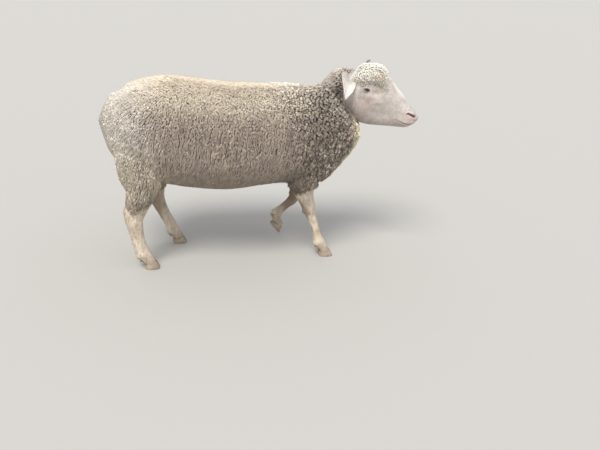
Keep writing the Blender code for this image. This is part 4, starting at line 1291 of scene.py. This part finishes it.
coat["pull"] = pull_streak + (pull_curl - pull_streak) * curly[:, None]
coat["tone"] = (tone_streak * (0.62 - 0.40 * smooth) * (1 - curly) + tone_curl * curly * 1.35
                + rng.normal(0.0, 0.35, len(roots)))
coat["depth"] = coat["depth"] * (1.0 + 0.08 * tone_curl * curly)
keep = clear_of_head(coat)
coat, curly, x, y = part_of(coat, keep), curly[keep], x[keep], y[keep]
print("locks of fleece:", len(x), "dropped at the head:", int((~keep).sum()))


# %% Fleece pieces
def equal_parts(values, count):
    """Equal shares of the locks along the body."""
    order = np.argsort(values)
    groups = np.empty(len(values), int)
    groups[order] = np.arange(len(values)) * count // len(values)
    return groups


CURL_LINE = 0.5
# name, whether it is the curly wool, pieces on a side, steps of its locks and first seed
WOOLS = (("fleece", False, 4, STRAIGHT, 30), ("neck_wool", True, 2, CURLY, 36))
fleece = []
for side, word in ((-1, "right"), (1, "left")):
    on_side = np.sign(y + 1e-9) == side
    for name, is_curly, count, steps, seed in WOOLS:
        rows = np.flatnonzero(on_side & ((curly >= CURL_LINE) == is_curly))
        groups = equal_parts(x[rows], count)
        for k in range(count):
            part = part_of(coat, rows[groups == k])
            fleece.append(locks(f"{name}_{word}_{k + 1}", part, steps, seed=seed + k))
print("fleece triangles:", sum(len(piece.data.polygons) for piece in fleece))

# %% [markdown]
# ## Topknot
# From the poll a thick cap of wool runs forward over the brow and ends in a step above the nose. Its
# locks are curlier than the fleece's and paler.

# %% Topknot piece
TOPKNOT_DEPTH = 0.0115
TOPKNOT_SPACING = 0.0023
TOPKNOT_RAG = 0.0035
TOPKNOT_BUNCH = 0.0090
TOPKNOT_OVER_NAPE = 0.004


def topknot_here(places, on_head):
    turned = to_head(places)
    in_topknot = (topknot_height(turned) > -TOPKNOT_RAG) & (off_head(turned) < TOPKNOT_OVER_NAPE)
    return on_head & in_topknot & ~on_ear(places)


roots, normals, uvs = scatter(TOPKNOT_SPACING, topknot_here, 12)
rng = np.random.default_rng(6)
turned = to_head(roots)
full = eased(topknot_height(turned) + rng.normal(0.0, TOPKNOT_RAG * 0.6, len(roots)), -0.002, 0.034)
tuft = coat_at(roots, normals, uvs, head_way(turned, 0.5, 0.6, -0.8), 1.2, 0.0014)
tuft["depth"] = (0.0016 + TOPKNOT_DEPTH * full) * rng.uniform(0.85, 1.10, len(roots)) * ear_clearance(roots)
tuft["lean"] = (0.007 + 0.007 * full) * rng.uniform(0.8, 1.2, len(roots))
tuft["half_width"] = 0.0007 + 0.0008 * full
tuft["pull"], tone = gather(tuft, TOPKNOT_BUNCH, 1.0, 0.22 + 0.12 * full, 23)
tuft["tone"] = tone * 0.6 + rng.normal(0.0, 0.4, len(roots))
tuft["depth"] = tuft["depth"] * (1.0 + 0.10 * tone)
topknot = locks("topknot", tuft, CURLY, seed=40)

# %% [markdown]
# ## Short hair
# The face, ears and lower legs carry flat short hair. From a step away it is only a bloom on the skin, so
# most of it is bump in the material. Fine tufts along the surface break its outline.

# %% Short hair pieces
NOSTRIL_BARE, LIPS_BARE, MUZZLE_BARE_FROM = 0.0075, 0.0040, 0.245


def bare_of_hair(turned):
    """Eye openings, nostrils and lips."""
    bare = np.zeros(len(turned), bool)
    for side in (-1, 1):
        x, y, out, opening = seen_by_eye(turned, side)
        bare |= (opening < 2.0) & (np.hypot(x, y) < EYE_RADIUS * 1.4) & (out > -0.004)
        gap, _ = distance_to_line(turned, nostril_line * (1, side, 1))
        bare |= gap < NOSTRIL_BARE
    gap, _ = distance_to_line(turned, mouth_line[::3])
    return bare | (gap < LIPS_BARE) | (turned[:, 0] > MUZZLE_BARE_FROM)


def face_hair_here(places, on_head):
    turned = to_head(places)
    ear = on_ear(places)
    wool = (topknot_height(turned) > 0.004) & ~ear
    return on_head & ~wool & ~bare_of_hair(turned) & (ear | (off_head(turned) < 0.012))


CORONET_HEIGHT = 0.018


def leg_hair_here(places, on_head):
    height = places[:, 2]
    return ~on_head & (height > CORONET_HEIGHT) & (wool_share(places, on_head) < 0.12) & (height < 0.34)


def flat_hair(name, spacing, wanted, seed, way_of, size):
    """Short tufts that lie nearly flat: depth, lean and half width at full size."""
    rng = np.random.default_rng(seed)
    roots, normals, uvs = scatter(spacing, wanted, seed)
    scale = size(roots) * rng.uniform(0.7, 1.25, len(roots))
    way = way_of(roots) + rng.normal(0.0, 0.16, (len(roots), 3))
    tufts = coat_at(roots, normals, uvs, way, 0.0)
    tufts.update(depth=0.0011 * scale, lean=0.0085 * scale, half_width=0.00062 * scale,
                 pull=np.zeros((len(roots), 3)), tone=rng.normal(0.0, 0.6, len(roots)))
    return locks(name, tufts, seed=seed)


def face_way(roots):
    return np.tile(np.array(HEAD_MATRIX)[:3, :3] @ np.array((-1.0, 0.0, -0.40)), (len(roots), 1))


def leg_way(roots):
    return np.tile(np.array((-0.15, 0.0, -1.0)), (len(roots), 1))


def face_size(roots):
    """Shorter to the muzzle."""
    return 0.75 - 0.35 * eased(to_head(roots)[:, 0], 0.04, 0.22)


def leg_size(roots):
    """Longer over the hooves."""
    return 1.15 + 0.5 * (roots[:, 2] < 0.036)


FACE_HAIR_SPACING, LEG_HAIR_SPACING = 0.0029, 0.0034
face_hair = flat_hair("face_hair", FACE_HAIR_SPACING, face_hair_here, 13, face_way, face_size)
leg_hair = flat_hair("leg_hair", LEG_HAIR_SPACING, leg_hair_here, 14, leg_way, leg_size)

# %% [markdown]
# Pale lashes stand on the upper lids. They are the same tufts, longer and curved out.

# %% Lashes
LASH_SPACING = 0.00075


def lash_here(places, on_head):
    turned = to_head(places)
    found = np.zeros(len(places), bool)
    for side in (-1, 1):
        x, y, out, opening = seen_by_eye(turned, side)
        found |= (opening > 1.25) & (opening < 1.55) & (y > 0.001) & (out > 0.006) & (np.hypot(x, y) < 0.013)
    return on_head & found


roots, normals, uvs = scatter(LASH_SPACING, lash_here, 15)
lash = coat_at(roots, normals, uvs, head_way(to_head(roots), 0.25, 1.0, -0.25), 0.0)
lash.update(depth=np.full(len(roots), 0.0042), lean=np.full(len(roots), 0.0036), tone=np.zeros(len(roots)),
            half_width=np.full(len(roots), 0.00022), pull=np.zeros((len(roots), 3)))
lashes = locks("lashes", lash, CURLY, seed=41)

# %% [markdown]
# ## Colours and finishes
# All materials read the place on the sheep (object coordinates), so the skin and the coat over it carry
# the same markings. A soft spot, in a node group, is the brush that paints them.

# %% Nodes and groups
VECTOR, FLOAT, COLOUR = "NodeSocketVector", "NodeSocketFloat", "NodeSocketColor"


def new_group(name, inputs, outputs):
    group = bpy.data.node_groups.new(name, "ShaderNodeTree")
    for socket, kind, default in inputs:
        group.interface.new_socket(name=socket, in_out="INPUT", socket_type=kind).default_value = default
    for socket, kind in outputs:
        group.interface.new_socket(name=socket, in_out="OUTPUT", socket_type=kind)
    return group, group.nodes.new("NodeGroupInput"), group.nodes.new("NodeGroupOutput")


def add_node(tree, kind, settings=None, links=None, **values):
    """A node with its settings, what is linked to its inputs, and their fixed values."""
    node = tree.nodes.new(kind)
    for name, value in (settings or {}).items():
        setattr(node, name, value)
    for name, value in values.items():
        node.inputs[int(name[1:]) if name[0] == "i" and name[1:].isdigit() else name].default_value = value
    for name, source in (links or {}).items():
        tree.links.new(source, node.inputs[name])
    return node


def mapped(tree, value, from_low, from_high, to_low=0.0, to_high=1.0, kind="SMOOTHSTEP"):
    limits = {"From Min": from_low, "From Max": from_high, "To Min": to_low, "To Max": to_high}
    node = add_node(tree, "ShaderNodeMapRange", {"interpolation_type": kind}, {"Value": value}, **limits)
    return node.outputs["Result"]


# %% Soft spot group
spot_group, spot_in, spot_out = new_group(
    "soft_spot", (("Place", VECTOR, (0, 0, 0)), ("Centre", VECTOR, (0, 0, 0)), ("Radii", VECTOR, (1, 1, 1)),
                  ("Softness", FLOAT, 0.5)), (("Mask", FLOAT),))
away = add_node(spot_group, "ShaderNodeVectorMath", {"operation": "SUBTRACT"},
                {0: spot_in.outputs["Place"], 1: spot_in.outputs["Centre"]})
scaled = add_node(spot_group, "ShaderNodeVectorMath", {"operation": "DIVIDE"},
                  {0: away.outputs[0], 1: spot_in.outputs["Radii"]})
length = add_node(spot_group, "ShaderNodeVectorMath", {"operation": "LENGTH"}, {0: scaled.outputs[0]})
softness = spot_in.outputs["Softness"]
outer = add_node(spot_group, "ShaderNodeMath", {"operation": "ADD"}, {1: softness}, i0=1.0)
inner = add_node(spot_group, "ShaderNodeMath", {"operation": "SUBTRACT"}, {1: softness}, i0=1.0)
ramp = add_node(spot_group, "ShaderNodeMapRange", {"interpolation_type": "SMOOTHSTEP"},
                {"Value": length.outputs["Value"], "From Min": outer.outputs[0], "From Max": inner.outputs[0]})
spot_group.links.new(ramp.outputs["Result"], spot_out.inputs["Mask"])


# %% Painting helpers
class Paint:
    """Layers of colour in one node tree, each laid over the last through a mask."""

    def __init__(self, tree, base):
        self.tree = tree
        self.colour = add_node(tree, "ShaderNodeRGB").outputs[0] if isinstance(base, tuple) else base
        if isinstance(base, tuple):
            self.colour.default_value = (*base, 1.0)

    def over(self, mask, colour, strength=1.0):
        mix = add_node(self.tree, "ShaderNodeMix", {"data_type": "RGBA", "blend_type": "MIX"})
        amount = add_node(self.tree, "ShaderNodeMath", {"operation": "MULTIPLY"}, {0: mask}, i1=strength)
        self.tree.links.new(amount.outputs[0], mix.inputs[0])
        self.tree.links.new(self.colour, mix.inputs[6])
        if isinstance(colour, tuple):
            mix.inputs[7].default_value = (*colour, 1.0)
        else:
            self.tree.links.new(colour, mix.inputs[7])
        self.colour = mix.outputs[2]

    def spots(self, place, rows):
        """Soft spots from rows of centre, radii, softness, colour and strength."""
        for centre, radii, softness, colour, strength in rows:
            self.over(spot(self.tree, place, tuple(centre), radii, softness), colour, strength)


def spot(tree, place, centre, radii, softness=0.5):
    node = add_node(tree, "ShaderNodeGroup", {"node_tree": spot_group}, {"Place": place},
                    Centre=centre, Radii=radii, Softness=softness)
    return node.outputs["Mask"]


def clouds(tree, place, scale, low=0.35, high=0.65, stretch=(1.0, 1.0, 1.0), detail=3.0):
    """A cloudy mask. Stretch squeezes the pattern along each axis."""
    mapping = add_node(tree, "ShaderNodeMapping", None, {"Vector": place}, Scale=stretch)
    texture = add_node(tree, "ShaderNodeTexNoise", None, {"Vector": mapping.outputs["Vector"]},
                       Scale=scale, Detail=detail)
    return mapped(tree, texture.outputs["Fac"], low, high)


def times(tree, a, b):
    return add_node(tree, "ShaderNodeMath", {"operation": "MULTIPLY"}, {0: a, 1: b}).outputs[0]


def height_of(tree, place):
    return add_node(tree, "ShaderNodeSeparateXYZ", None, {0: place}).outputs["Z"]


# %% [markdown]
# ## Markings of the fleece
# Clean wool is cream. On this sheep the flank is grey-beige with dust, the upper back is warm and pale,
# the rump is nearly white and smooth, the shoulder and neck are darker, and a yellowish rim runs down the
# throat and brisket. Painted light from above adds to the paleness of the back, rump and nape, painted
# shade darkens the belly, and painted shadow darkens the wool at the elbow and behind the cheek.

# %% Fleece markings group
marking_group, marking_in, marking_out = new_group(
    "fleece_markings", (("Place", VECTOR, (0, 0, 0)),), (("Colour", COLOUR),))
place = marking_in.outputs["Place"]
height = height_of(marking_group, place)
coat_paint = Paint(marking_group, (0.60, 0.50, 0.41))
# Darker towards the belly, partly painted shade under the body, and paler over the upper back, partly painted
# light from above.
coat_paint.over(mapped(marking_group, height, 0.42, 0.27), (0.42, 0.345, 0.27))
coat_paint.over(mapped(marking_group, height, 0.50, 0.63), (0.80, 0.70, 0.565))
# Back, rump, thigh, hock, shoulder, neck, nape and elbow: centre, radii, softness, colour, strength. The
# back, rump and nape spots are pale wool with painted light from above; the elbow spot is painted shade.
FLEECE_SPOTS = (
    ((0.14, 0.0, 0.64), (0.14, 0.22, 0.06), 0.6, (0.84, 0.76, 0.65), 0.8),
    ((-0.575, 0.0, 0.50), (0.19, 0.30, 0.22), 0.5, (0.93, 0.86, 0.77), 0.95),
    ((-0.47, 0.0, 0.31), (0.13, 0.28, 0.14), 0.5, (0.82, 0.72, 0.57), 0.85),
    ((-0.41, 0.0, 0.225), (0.12, 0.28, 0.04), 0.5, (0.36, 0.28, 0.21), 0.8),
    ((0.21, 0.0, 0.45), (0.14, 0.28, 0.19), 0.6, (0.24, 0.195, 0.15), 0.85),
    ((0.29, 0.0, 0.60), (0.10, 0.22, 0.08), 0.6, (0.44, 0.375, 0.32), 0.8),
    ((0.27, 0.0, 0.705), (0.13, 0.10, 0.055), 0.5, (0.74, 0.67, 0.59), 0.85),
    ((0.10, 0.0, 0.29), (0.07, 0.25, 0.06), 0.6, (0.15, 0.115, 0.09), 0.7),
)
coat_paint.spots(place, FLEECE_SPOTS)
# The rim from the throat down the brisket, each place with its reach.
RIM = (((0.366, -0.03, 0.502), 0.052), ((0.362, -0.02, 0.460), 0.042), ((0.356, -0.02, 0.425), 0.034),
       ((0.334, -0.02, 0.385), 0.033), ((0.308, -0.02, 0.350), 0.031), ((0.280, -0.02, 0.320), 0.029))
for centre, reach in RIM:
    coat_paint.spots(place, [(centre, (reach, 0.095, reach), 0.5, (0.93, 0.82, 0.58), 0.85)])
white_tufts = times(marking_group, spot(marking_group, place, (0.27, 0.0, 0.39), (0.09, 0.25, 0.09), 0.5),
                    clouds(marking_group, place, 55.0, 0.52, 0.62))
coat_paint.over(white_tufts, (0.90, 0.84, 0.74), 0.7)
coat_paint.over(clouds(marking_group, place, 11.0, 0.45, 0.70), (0.30, 0.25, 0.20), 0.22)
coat_paint.over(clouds(marking_group, place, 80.0, 0.50, 0.72, (1.0, 1.0, 0.20)), (0.24, 0.20, 0.16), 0.32)
# A dark line of shaded wool behind the cheek, on both sides.
CHEEK_LINE = ((-0.040, 0.070, 0.630), (-0.034, 0.070, 0.596), (-0.018, 0.070, 0.562), (0.000, 0.066, 0.540))
for centre in CHEEK_LINE:
    for side in (-1, 1):
        behind = HEAD_MATRIX @ Vector((centre[0], centre[1] * side, centre[2]))
        coat_paint.spots(place, [(behind, (0.016, 0.030, 0.022), 0.6, (0.13, 0.10, 0.075), 0.75)])
marking_group.links.new(coat_paint.colour, marking_out.inputs["Colour"])


# %% Wool material
def new_finish(name, roughness):
    finish = bpy.data.materials.new(name)
    finish.use_nodes = True
    shader = finish.node_tree.nodes["Principled BSDF"]
    shader.inputs["Roughness"].default_value = roughness
    coordinates = add_node(finish.node_tree, "ShaderNodeTexCoord")
    return finish, finish.node_tree, shader, coordinates.outputs["Object"]


def grouped(tree, group, place, output):
    return add_node(tree, "ShaderNodeGroup", {"node_tree": group}, {"Place": place}).outputs[output]


def attribute_of(tree, name, output="Fac"):
    return add_node(tree, "ShaderNodeAttribute", {"attribute_name": name}).outputs[output]


def shaded(tree, colour, value):
    """The colour made lighter or darker by a value round one."""
    links = {0: colour, "Scale": value}
    return add_node(tree, "ShaderNodeVectorMath", {"operation": "SCALE"}, links).outputs[0]


def wool_finish(name, colour_of, root_painted_shade, tone_reach, tip_shade, pieces):
    """Wool gets painted shade toward the root, darker there than at the tip, and each lock has its own tone."""
    finish, tree, shader, place = new_finish(name, 0.95)
    # Painted shade: each lock is darkest at its root, deep in the fleece, and lightens toward its tip.
    along = mapped(tree, attribute_of(tree, "along"), 0.2, 1.0, root_painted_shade, tip_shade)
    colour = shaded(tree, colour_of(tree, place), along)
    tone = mapped(tree, attribute_of(tree, "tone"), -2.0, 2.0, 1.0 - tone_reach, 1.0 + tone_reach, "LINEAR")
    tree.links.new(shaded(tree, colour, tone), shader.inputs["Base Color"])
    shader.inputs["Sheen Weight"].default_value = 0.15
    shader.inputs["Sheen Roughness"].default_value = 0.6
    for piece in pieces:
        piece.data.materials.append(finish)


SWIRL_PLACE = HEAD_MATRIX @ Vector((0.098, -0.045, 0.678))


def topknot_colour(tree, place):
    paint = Paint(tree, (0.97, 0.94, 0.86))
    swirl = spot(tree, place, tuple(SWIRL_PLACE), (0.024, 0.034, 0.030), 0.7)
    paint.over(times(tree, swirl, clouds(tree, place, 60.0, 0.30, 0.60)), (0.60, 0.48, 0.31), 0.75)
    paint.over(clouds(tree, place, 40.0, 0.55, 0.75), (0.84, 0.76, 0.60), 0.4)
    paint.over(mapped(tree, height_of(tree, place), 0.690, 0.660), (0.66, 0.60, 0.53), 0.85)
    return paint.colour


def fleece_colour(tree, place):
    return grouped(tree, marking_group, place, "Colour")


wool_finish("merino_wool", fleece_colour, 0.66, 0.38, 1.12, fleece)
wool_finish("topknot_wool", topknot_colour, 0.94, 0.08, 1.03, [topknot])

# %% [markdown]
# ## Short-haired skin
# On the face white hair lies over pink skin. The skin shows through on the nose, round the eyes, in the
# ears and on the cheek. The group works in the head's own frame, which it turns to first.

# %% Face and leg markings group
skin_group, skin_in, skin_out = new_group(
    "skin_markings", (("Place", VECTOR, (0, 0, 0)),), (("Colour", COLOUR), ("Heading", VECTOR)))
place = skin_in.outputs["Place"]
to_root = add_node(skin_group, "ShaderNodeVectorMath", {"operation": "SUBTRACT"}, {0: place},
                   i1=tuple(BODY_SHIFT + HEAD_ROOT))
to_heading = add_node(skin_group, "ShaderNodeVectorRotate", {"rotation_type": "Z_AXIS"},
                      {"Vector": to_root.outputs[0]}, Angle=-HEAD_YAW)
facing = to_heading.outputs["Vector"]
skin_group.links.new(facing, skin_out.inputs["Heading"])

# %% Spots of the face
# Each face spot: place (forward, left, up), radii, softness, colour and strength, on both sides.
FACE_SPOTS = (
    ((0.096, 0.050, 0.565), (0.060, 0.04, 0.045), 0.6, (0.44, 0.375, 0.33), 0.40),  # grey cheek
    # The dusky jaw spot is painted shade at the back of the jaw.
    ((0.016, 0.060, 0.580), (0.050, 0.04, 0.045), 0.6, (0.43, 0.345, 0.295), 0.55),  # dusky jaw
    ((0.051, 0.060, 0.590), (0.032, 0.03, 0.022), 0.7, (0.52, 0.37, 0.33), 0.50),   # pink under the eye
    ((0.024, 0.062, 0.634), (0.028, 0.03, 0.024), 0.6, (0.20, 0.165, 0.145), 0.80),  # shade behind the eye
    ((0.073, 0.058, 0.605), (0.011, 0.02, 0.009), 0.7, (0.33, 0.19, 0.165), 0.60),  # red spot below the eye
    ((0.100, 0.054, 0.621), (0.015, 0.02, 0.009), 0.7, (0.74, 0.60, 0.55), 0.50),   # pale pink patch
    ((0.101, 0.054, 0.638), (0.017, 0.02, 0.005), 0.7, (0.31, 0.215, 0.145), 0.70),  # streak before the eye
    ((0.108, 0.050, 0.652), (0.018, 0.02, 0.014), 0.7, (0.47, 0.37, 0.25), 0.60),   # brown of the swirl's foot
    ((0.068, 0.050, 0.664), (0.014, 0.02, 0.006), 0.7, (0.45, 0.35, 0.26), 0.55),   # brown over the eye
    ((0.058, 0.062, 0.642), (0.0128, 0.02, 0.0090), 0.5, (0.22, 0.15, 0.125), 0.70),  # dark lids
    ((0.219, 0.026, 0.552), (0.028, 0.016, 0.014), 0.5, (0.60, 0.42, 0.39), 0.6),   # pink round the nostril
    ((0.210, 0.030, 0.526), (0.036, 0.016, 0.007), 0.6, (0.46, 0.29, 0.26), 0.6),   # pink lips
)
# %% Painting the face and legs
face = Paint(skin_group, (0.575, 0.525, 0.485))
face.over(clouds(skin_group, place, 34.0, 0.42, 0.62), (0.44, 0.39, 0.35), 0.7)
face.over(clouds(skin_group, place, 90.0, 0.50, 0.62), (0.42, 0.36, 0.33), 0.5)
face.over(clouds(skin_group, place, 150.0, 0.52, 0.68), (0.33, 0.27, 0.24), 0.45)
LEGS_BELOW = (0.42, 0.38)
legs_here = mapped(skin_group, height_of(skin_group, place), *LEGS_BELOW)
legs = Paint(skin_group, (0.76, 0.66, 0.54))
legs.over(clouds(skin_group, place, 45.0, 0.45, 0.65, (1.0, 1.0, 0.4)), (0.56, 0.45, 0.33), 0.65)
legs.over(clouds(skin_group, place, 120.0, 0.52, 0.66, (1.0, 1.0, 0.3)), (0.38, 0.29, 0.20), 0.45)
# Painted shade on the inner back of each upper leg, under the body. The far (left) legs are darker behind,
# partly dirt and partly painted shade, and every leg is darker above the hoof.
for name, leg in LEGS.items():
    rows = leg_rows(leg)
    inner = -0.4 if name.endswith("left") else 0.4
    top = leg_place(rows, 3.3, -0.5, inner)
    legs.spots(place, [(top, (0.030, 0.03, 0.055), 0.6, (0.17, 0.115, 0.075), 0.85)])
    if name.endswith("left"):
        rear = leg_place(rows, 5.2, -0.9, 0.0)
        legs.spots(place, [(rear, (0.030, 0.05, 0.10), 0.6, (0.27, 0.20, 0.135), 0.75)])
    low = leg_place(rows, 9.6, 0.0, 0.0)
    legs.spots(place, [(low, (0.035, 0.035, 0.020), 0.6, (0.36, 0.27, 0.19), 0.5)])
face.over(legs_here, legs.colour)
broken = mapped(skin_group, clouds(skin_group, place, 70.0, 0.30, 0.70), 0.0, 1.0, 0.35, 1.0)
for centre, radii, softness, colour, strength in FACE_SPOTS:
    for side in (-1, 1):
        mask = spot(skin_group, facing, (centre[0], centre[1] * side, centre[2]), radii, softness)
        face.over(times(skin_group, mask, broken), colour, strength)
# Painted shade inside the nostrils: dark spots along each slit.
for side in (-1, 1):
    for step in range(5):
        centre = nostril_line[step * 6] * (1, side, 1)
        reach = 0.0050 - 0.0004 * step
        face.spots(facing, [(centre, (reach, reach, reach), 0.35, (0.07, 0.02, 0.018), 0.9)])
# On the head's middle: bridge of the nose, pale and partly painted light from above, tip of the muzzle and
# chin.
MIDDLE_SPOTS = (
    ((0.170, 0.0, 0.650), (0.075, 0.016, 0.05), 0.5, (0.80, 0.73, 0.68), 0.8),
    ((0.245, 0.0, 0.540), (0.016, 0.022, 0.016), 0.6, (0.60, 0.38, 0.34), 0.6),
    ((0.215, 0.0, 0.506), (0.035, 0.03, 0.010), 0.6, (0.44, 0.35, 0.30), 0.5),
)
face.spots(facing, MIDDLE_SPOTS)
# Each ear is pale, with painted shade in its hollow near the root.
for word in EARS:
    ear_root, ear_reach, _, _ = ear_frame(word)
    pale, hollow = (ear_root + ear_reach * EAR_LENGTH * share for share in (0.62, 0.16))
    face.spots(facing, [(pale, (0.055, 0.052, 0.055), 0.4, (0.79, 0.73, 0.67), 0.85),
                        (hollow, (0.018, 0.026, 0.022), 0.6, (0.42, 0.385, 0.36), 0.6)])
skin_group.links.new(face.colour, skin_out.inputs["Colour"])


# %% Hair grain group
grain_group, grain_in, grain_out = new_group(
    "hair_grain", (("Place", VECTOR, (0, 0, 0)), ("Heading", VECTOR, (0, 0, 0))), (("Height", FLOAT),))
face_grain = clouds(grain_group, grain_in.outputs["Heading"], 1.0, 0.3, 0.7, (110.0, 800.0, 700.0), 2.0)
leg_grain = clouds(grain_group, grain_in.outputs["Place"], 1.0, 0.3, 0.7, (700.0, 700.0, 90.0), 2.0)
on_legs = mapped(grain_group, height_of(grain_group, grain_in.outputs["Place"]), *LEGS_BELOW)
choose = add_node(grain_group, "ShaderNodeMix", {"data_type": "FLOAT"},
                  {0: on_legs, 2: face_grain, 3: leg_grain})
grain_group.links.new(choose.outputs[0], grain_out.inputs["Height"])

# %% Skin material
UNDER_TOPKNOT = 0.05
WOOL_SHADOW = 0.62

hide, tree, shader, place = new_finish("sheep_skin", 0.75)
skin_node = add_node(tree, "ShaderNodeGroup", {"node_tree": skin_group}, {"Place": place})
wool_shadow = add_node(tree, "ShaderNodeValue")
wool_shadow.outputs[0].default_value = WOOL_SHADOW
under_wool = shaded(tree, grouped(tree, marking_group, place, "Colour"), wool_shadow.outputs[0])
paint = Paint(tree, skin_node.outputs["Colour"])
# Painted shade in the slits of the nostrils and along the line of the mouth.
paint.over(attribute_of(tree, "crease"), (0.09, 0.035, 0.03), 0.85)
paint.over(mapped(tree, attribute_of(tree, "wool"), 0.02, 0.15), under_wool)
tree.links.new(paint.colour, shader.inputs["Base Color"])
grain = add_node(tree, "ShaderNodeGroup", {"node_tree": grain_group},
                 {"Place": place, "Heading": skin_node.outputs["Heading"]})
bump = add_node(tree, "ShaderNodeBump", None, {"Height": grain.outputs["Height"]},
                Strength=0.6, Distance=0.0009)
tree.links.new(bump.outputs["Normal"], shader.inputs["Normal"])
shader.inputs["Subsurface Weight"].default_value = 0.10
shader.inputs["Subsurface Radius"].default_value = (0.005, 0.002, 0.001)
shader.inputs["Subsurface Scale"].default_value = 1.0
is_head = np.arange(len(SKIN_POINTS)) >= BODY_VERTEX_COUNT
under_topknot = is_head & (topknot_height(to_head(SKIN_POINTS)) > 0.0)
keep_values(skin.data, "wool", wool_share(SKIN_POINTS, is_head) + UNDER_TOPKNOT * under_topknot)
skin.data.materials.clear()
skin.data.materials.append(hide)

# %% Short hair material
coat_hair, tree, shader, place = new_finish("short_white_hair", 0.85)
colour = grouped(tree, skin_group, place, "Colour")
tone = mapped(tree, attribute_of(tree, "tone"), -2.0, 2.0, 0.88, 1.30, "LINEAR")
tree.links.new(shaded(tree, colour, tone), shader.inputs["Base Color"])
for piece in (face_hair, leg_hair, lashes):
    piece.data.materials.append(coat_hair)

# %% Eye materials
eye_finish, tree, shader, place = new_finish("wet_eye", 0.08)
local = attribute_of(tree, "eye_place", "Vector")
iris = spot(tree, local, (0, 0, 1.0), (0.78, 0.78, 0.9), 0.06)
paint = Paint(tree, (0.12, 0.08, 0.06))
paint.over(iris, (0.070, 0.032, 0.012))
paint.over(times(tree, iris, clouds(tree, local, 9.0, 0.4, 0.6, (1, 1, 0.1))), (0.13, 0.065, 0.022), 0.6)
paint.over(spot(tree, local, (0, 0, 1.0), (0.52, 0.27, 0.9), 0.12), (0.003, 0.003, 0.005))
tree.links.new(paint.colour, shader.inputs["Base Color"])
shader.inputs["Coat Weight"].default_value = 1.0
shader.inputs["Coat Roughness"].default_value = 0.03
for ball in eyeballs:
    ball.data.materials.append(eye_finish)

# %% Lid rim material
rim_finish, tree, shader, place = new_finish("lid_rim", 0.35)
paint = Paint(tree, (0.075, 0.048, 0.040))
paint.over(clouds(tree, place, 300.0, 0.4, 0.65), (0.14, 0.085, 0.07), 0.6)
tree.links.new(paint.colour, shader.inputs["Base Color"])
shader.inputs["Coat Weight"].default_value = 0.4
for rim_piece in lid_rims:
    rim_piece.data.materials.append(rim_finish)

# %% Horn material
horn, tree, shader, place = new_finish("hoof_horn", 0.6)
local = attribute_of(tree, "claw_place", "Vector")
paint = Paint(tree, (0.34, 0.27, 0.20))
paint.over(clouds(tree, local, 60.0, 0.35, 0.75, (0.5, 0.5, 1.6)), (0.17, 0.125, 0.09), 0.7)
paint.over(clouds(tree, local, 120.0, 0.45, 0.70, (2.0, 2.0, 0.3)), (0.44, 0.36, 0.27), 0.5)
paint.over(clouds(tree, place, 60.0, 0.48, 0.70), (0.55, 0.46, 0.36), 0.5)
tree.links.new(paint.colour, shader.inputs["Base Color"])
growth = clouds(tree, local, 170.0, 0.3, 0.7, (0.2, 0.2, 3.0), 2.0)
bump = add_node(tree, "ShaderNodeBump", None, {"Height": growth}, Strength=0.6, Distance=0.001)
tree.links.new(bump.outputs["Normal"], shader.inputs["Normal"])
for piece in claws + [dewclaws]:
    piece.data.materials.append(horn)
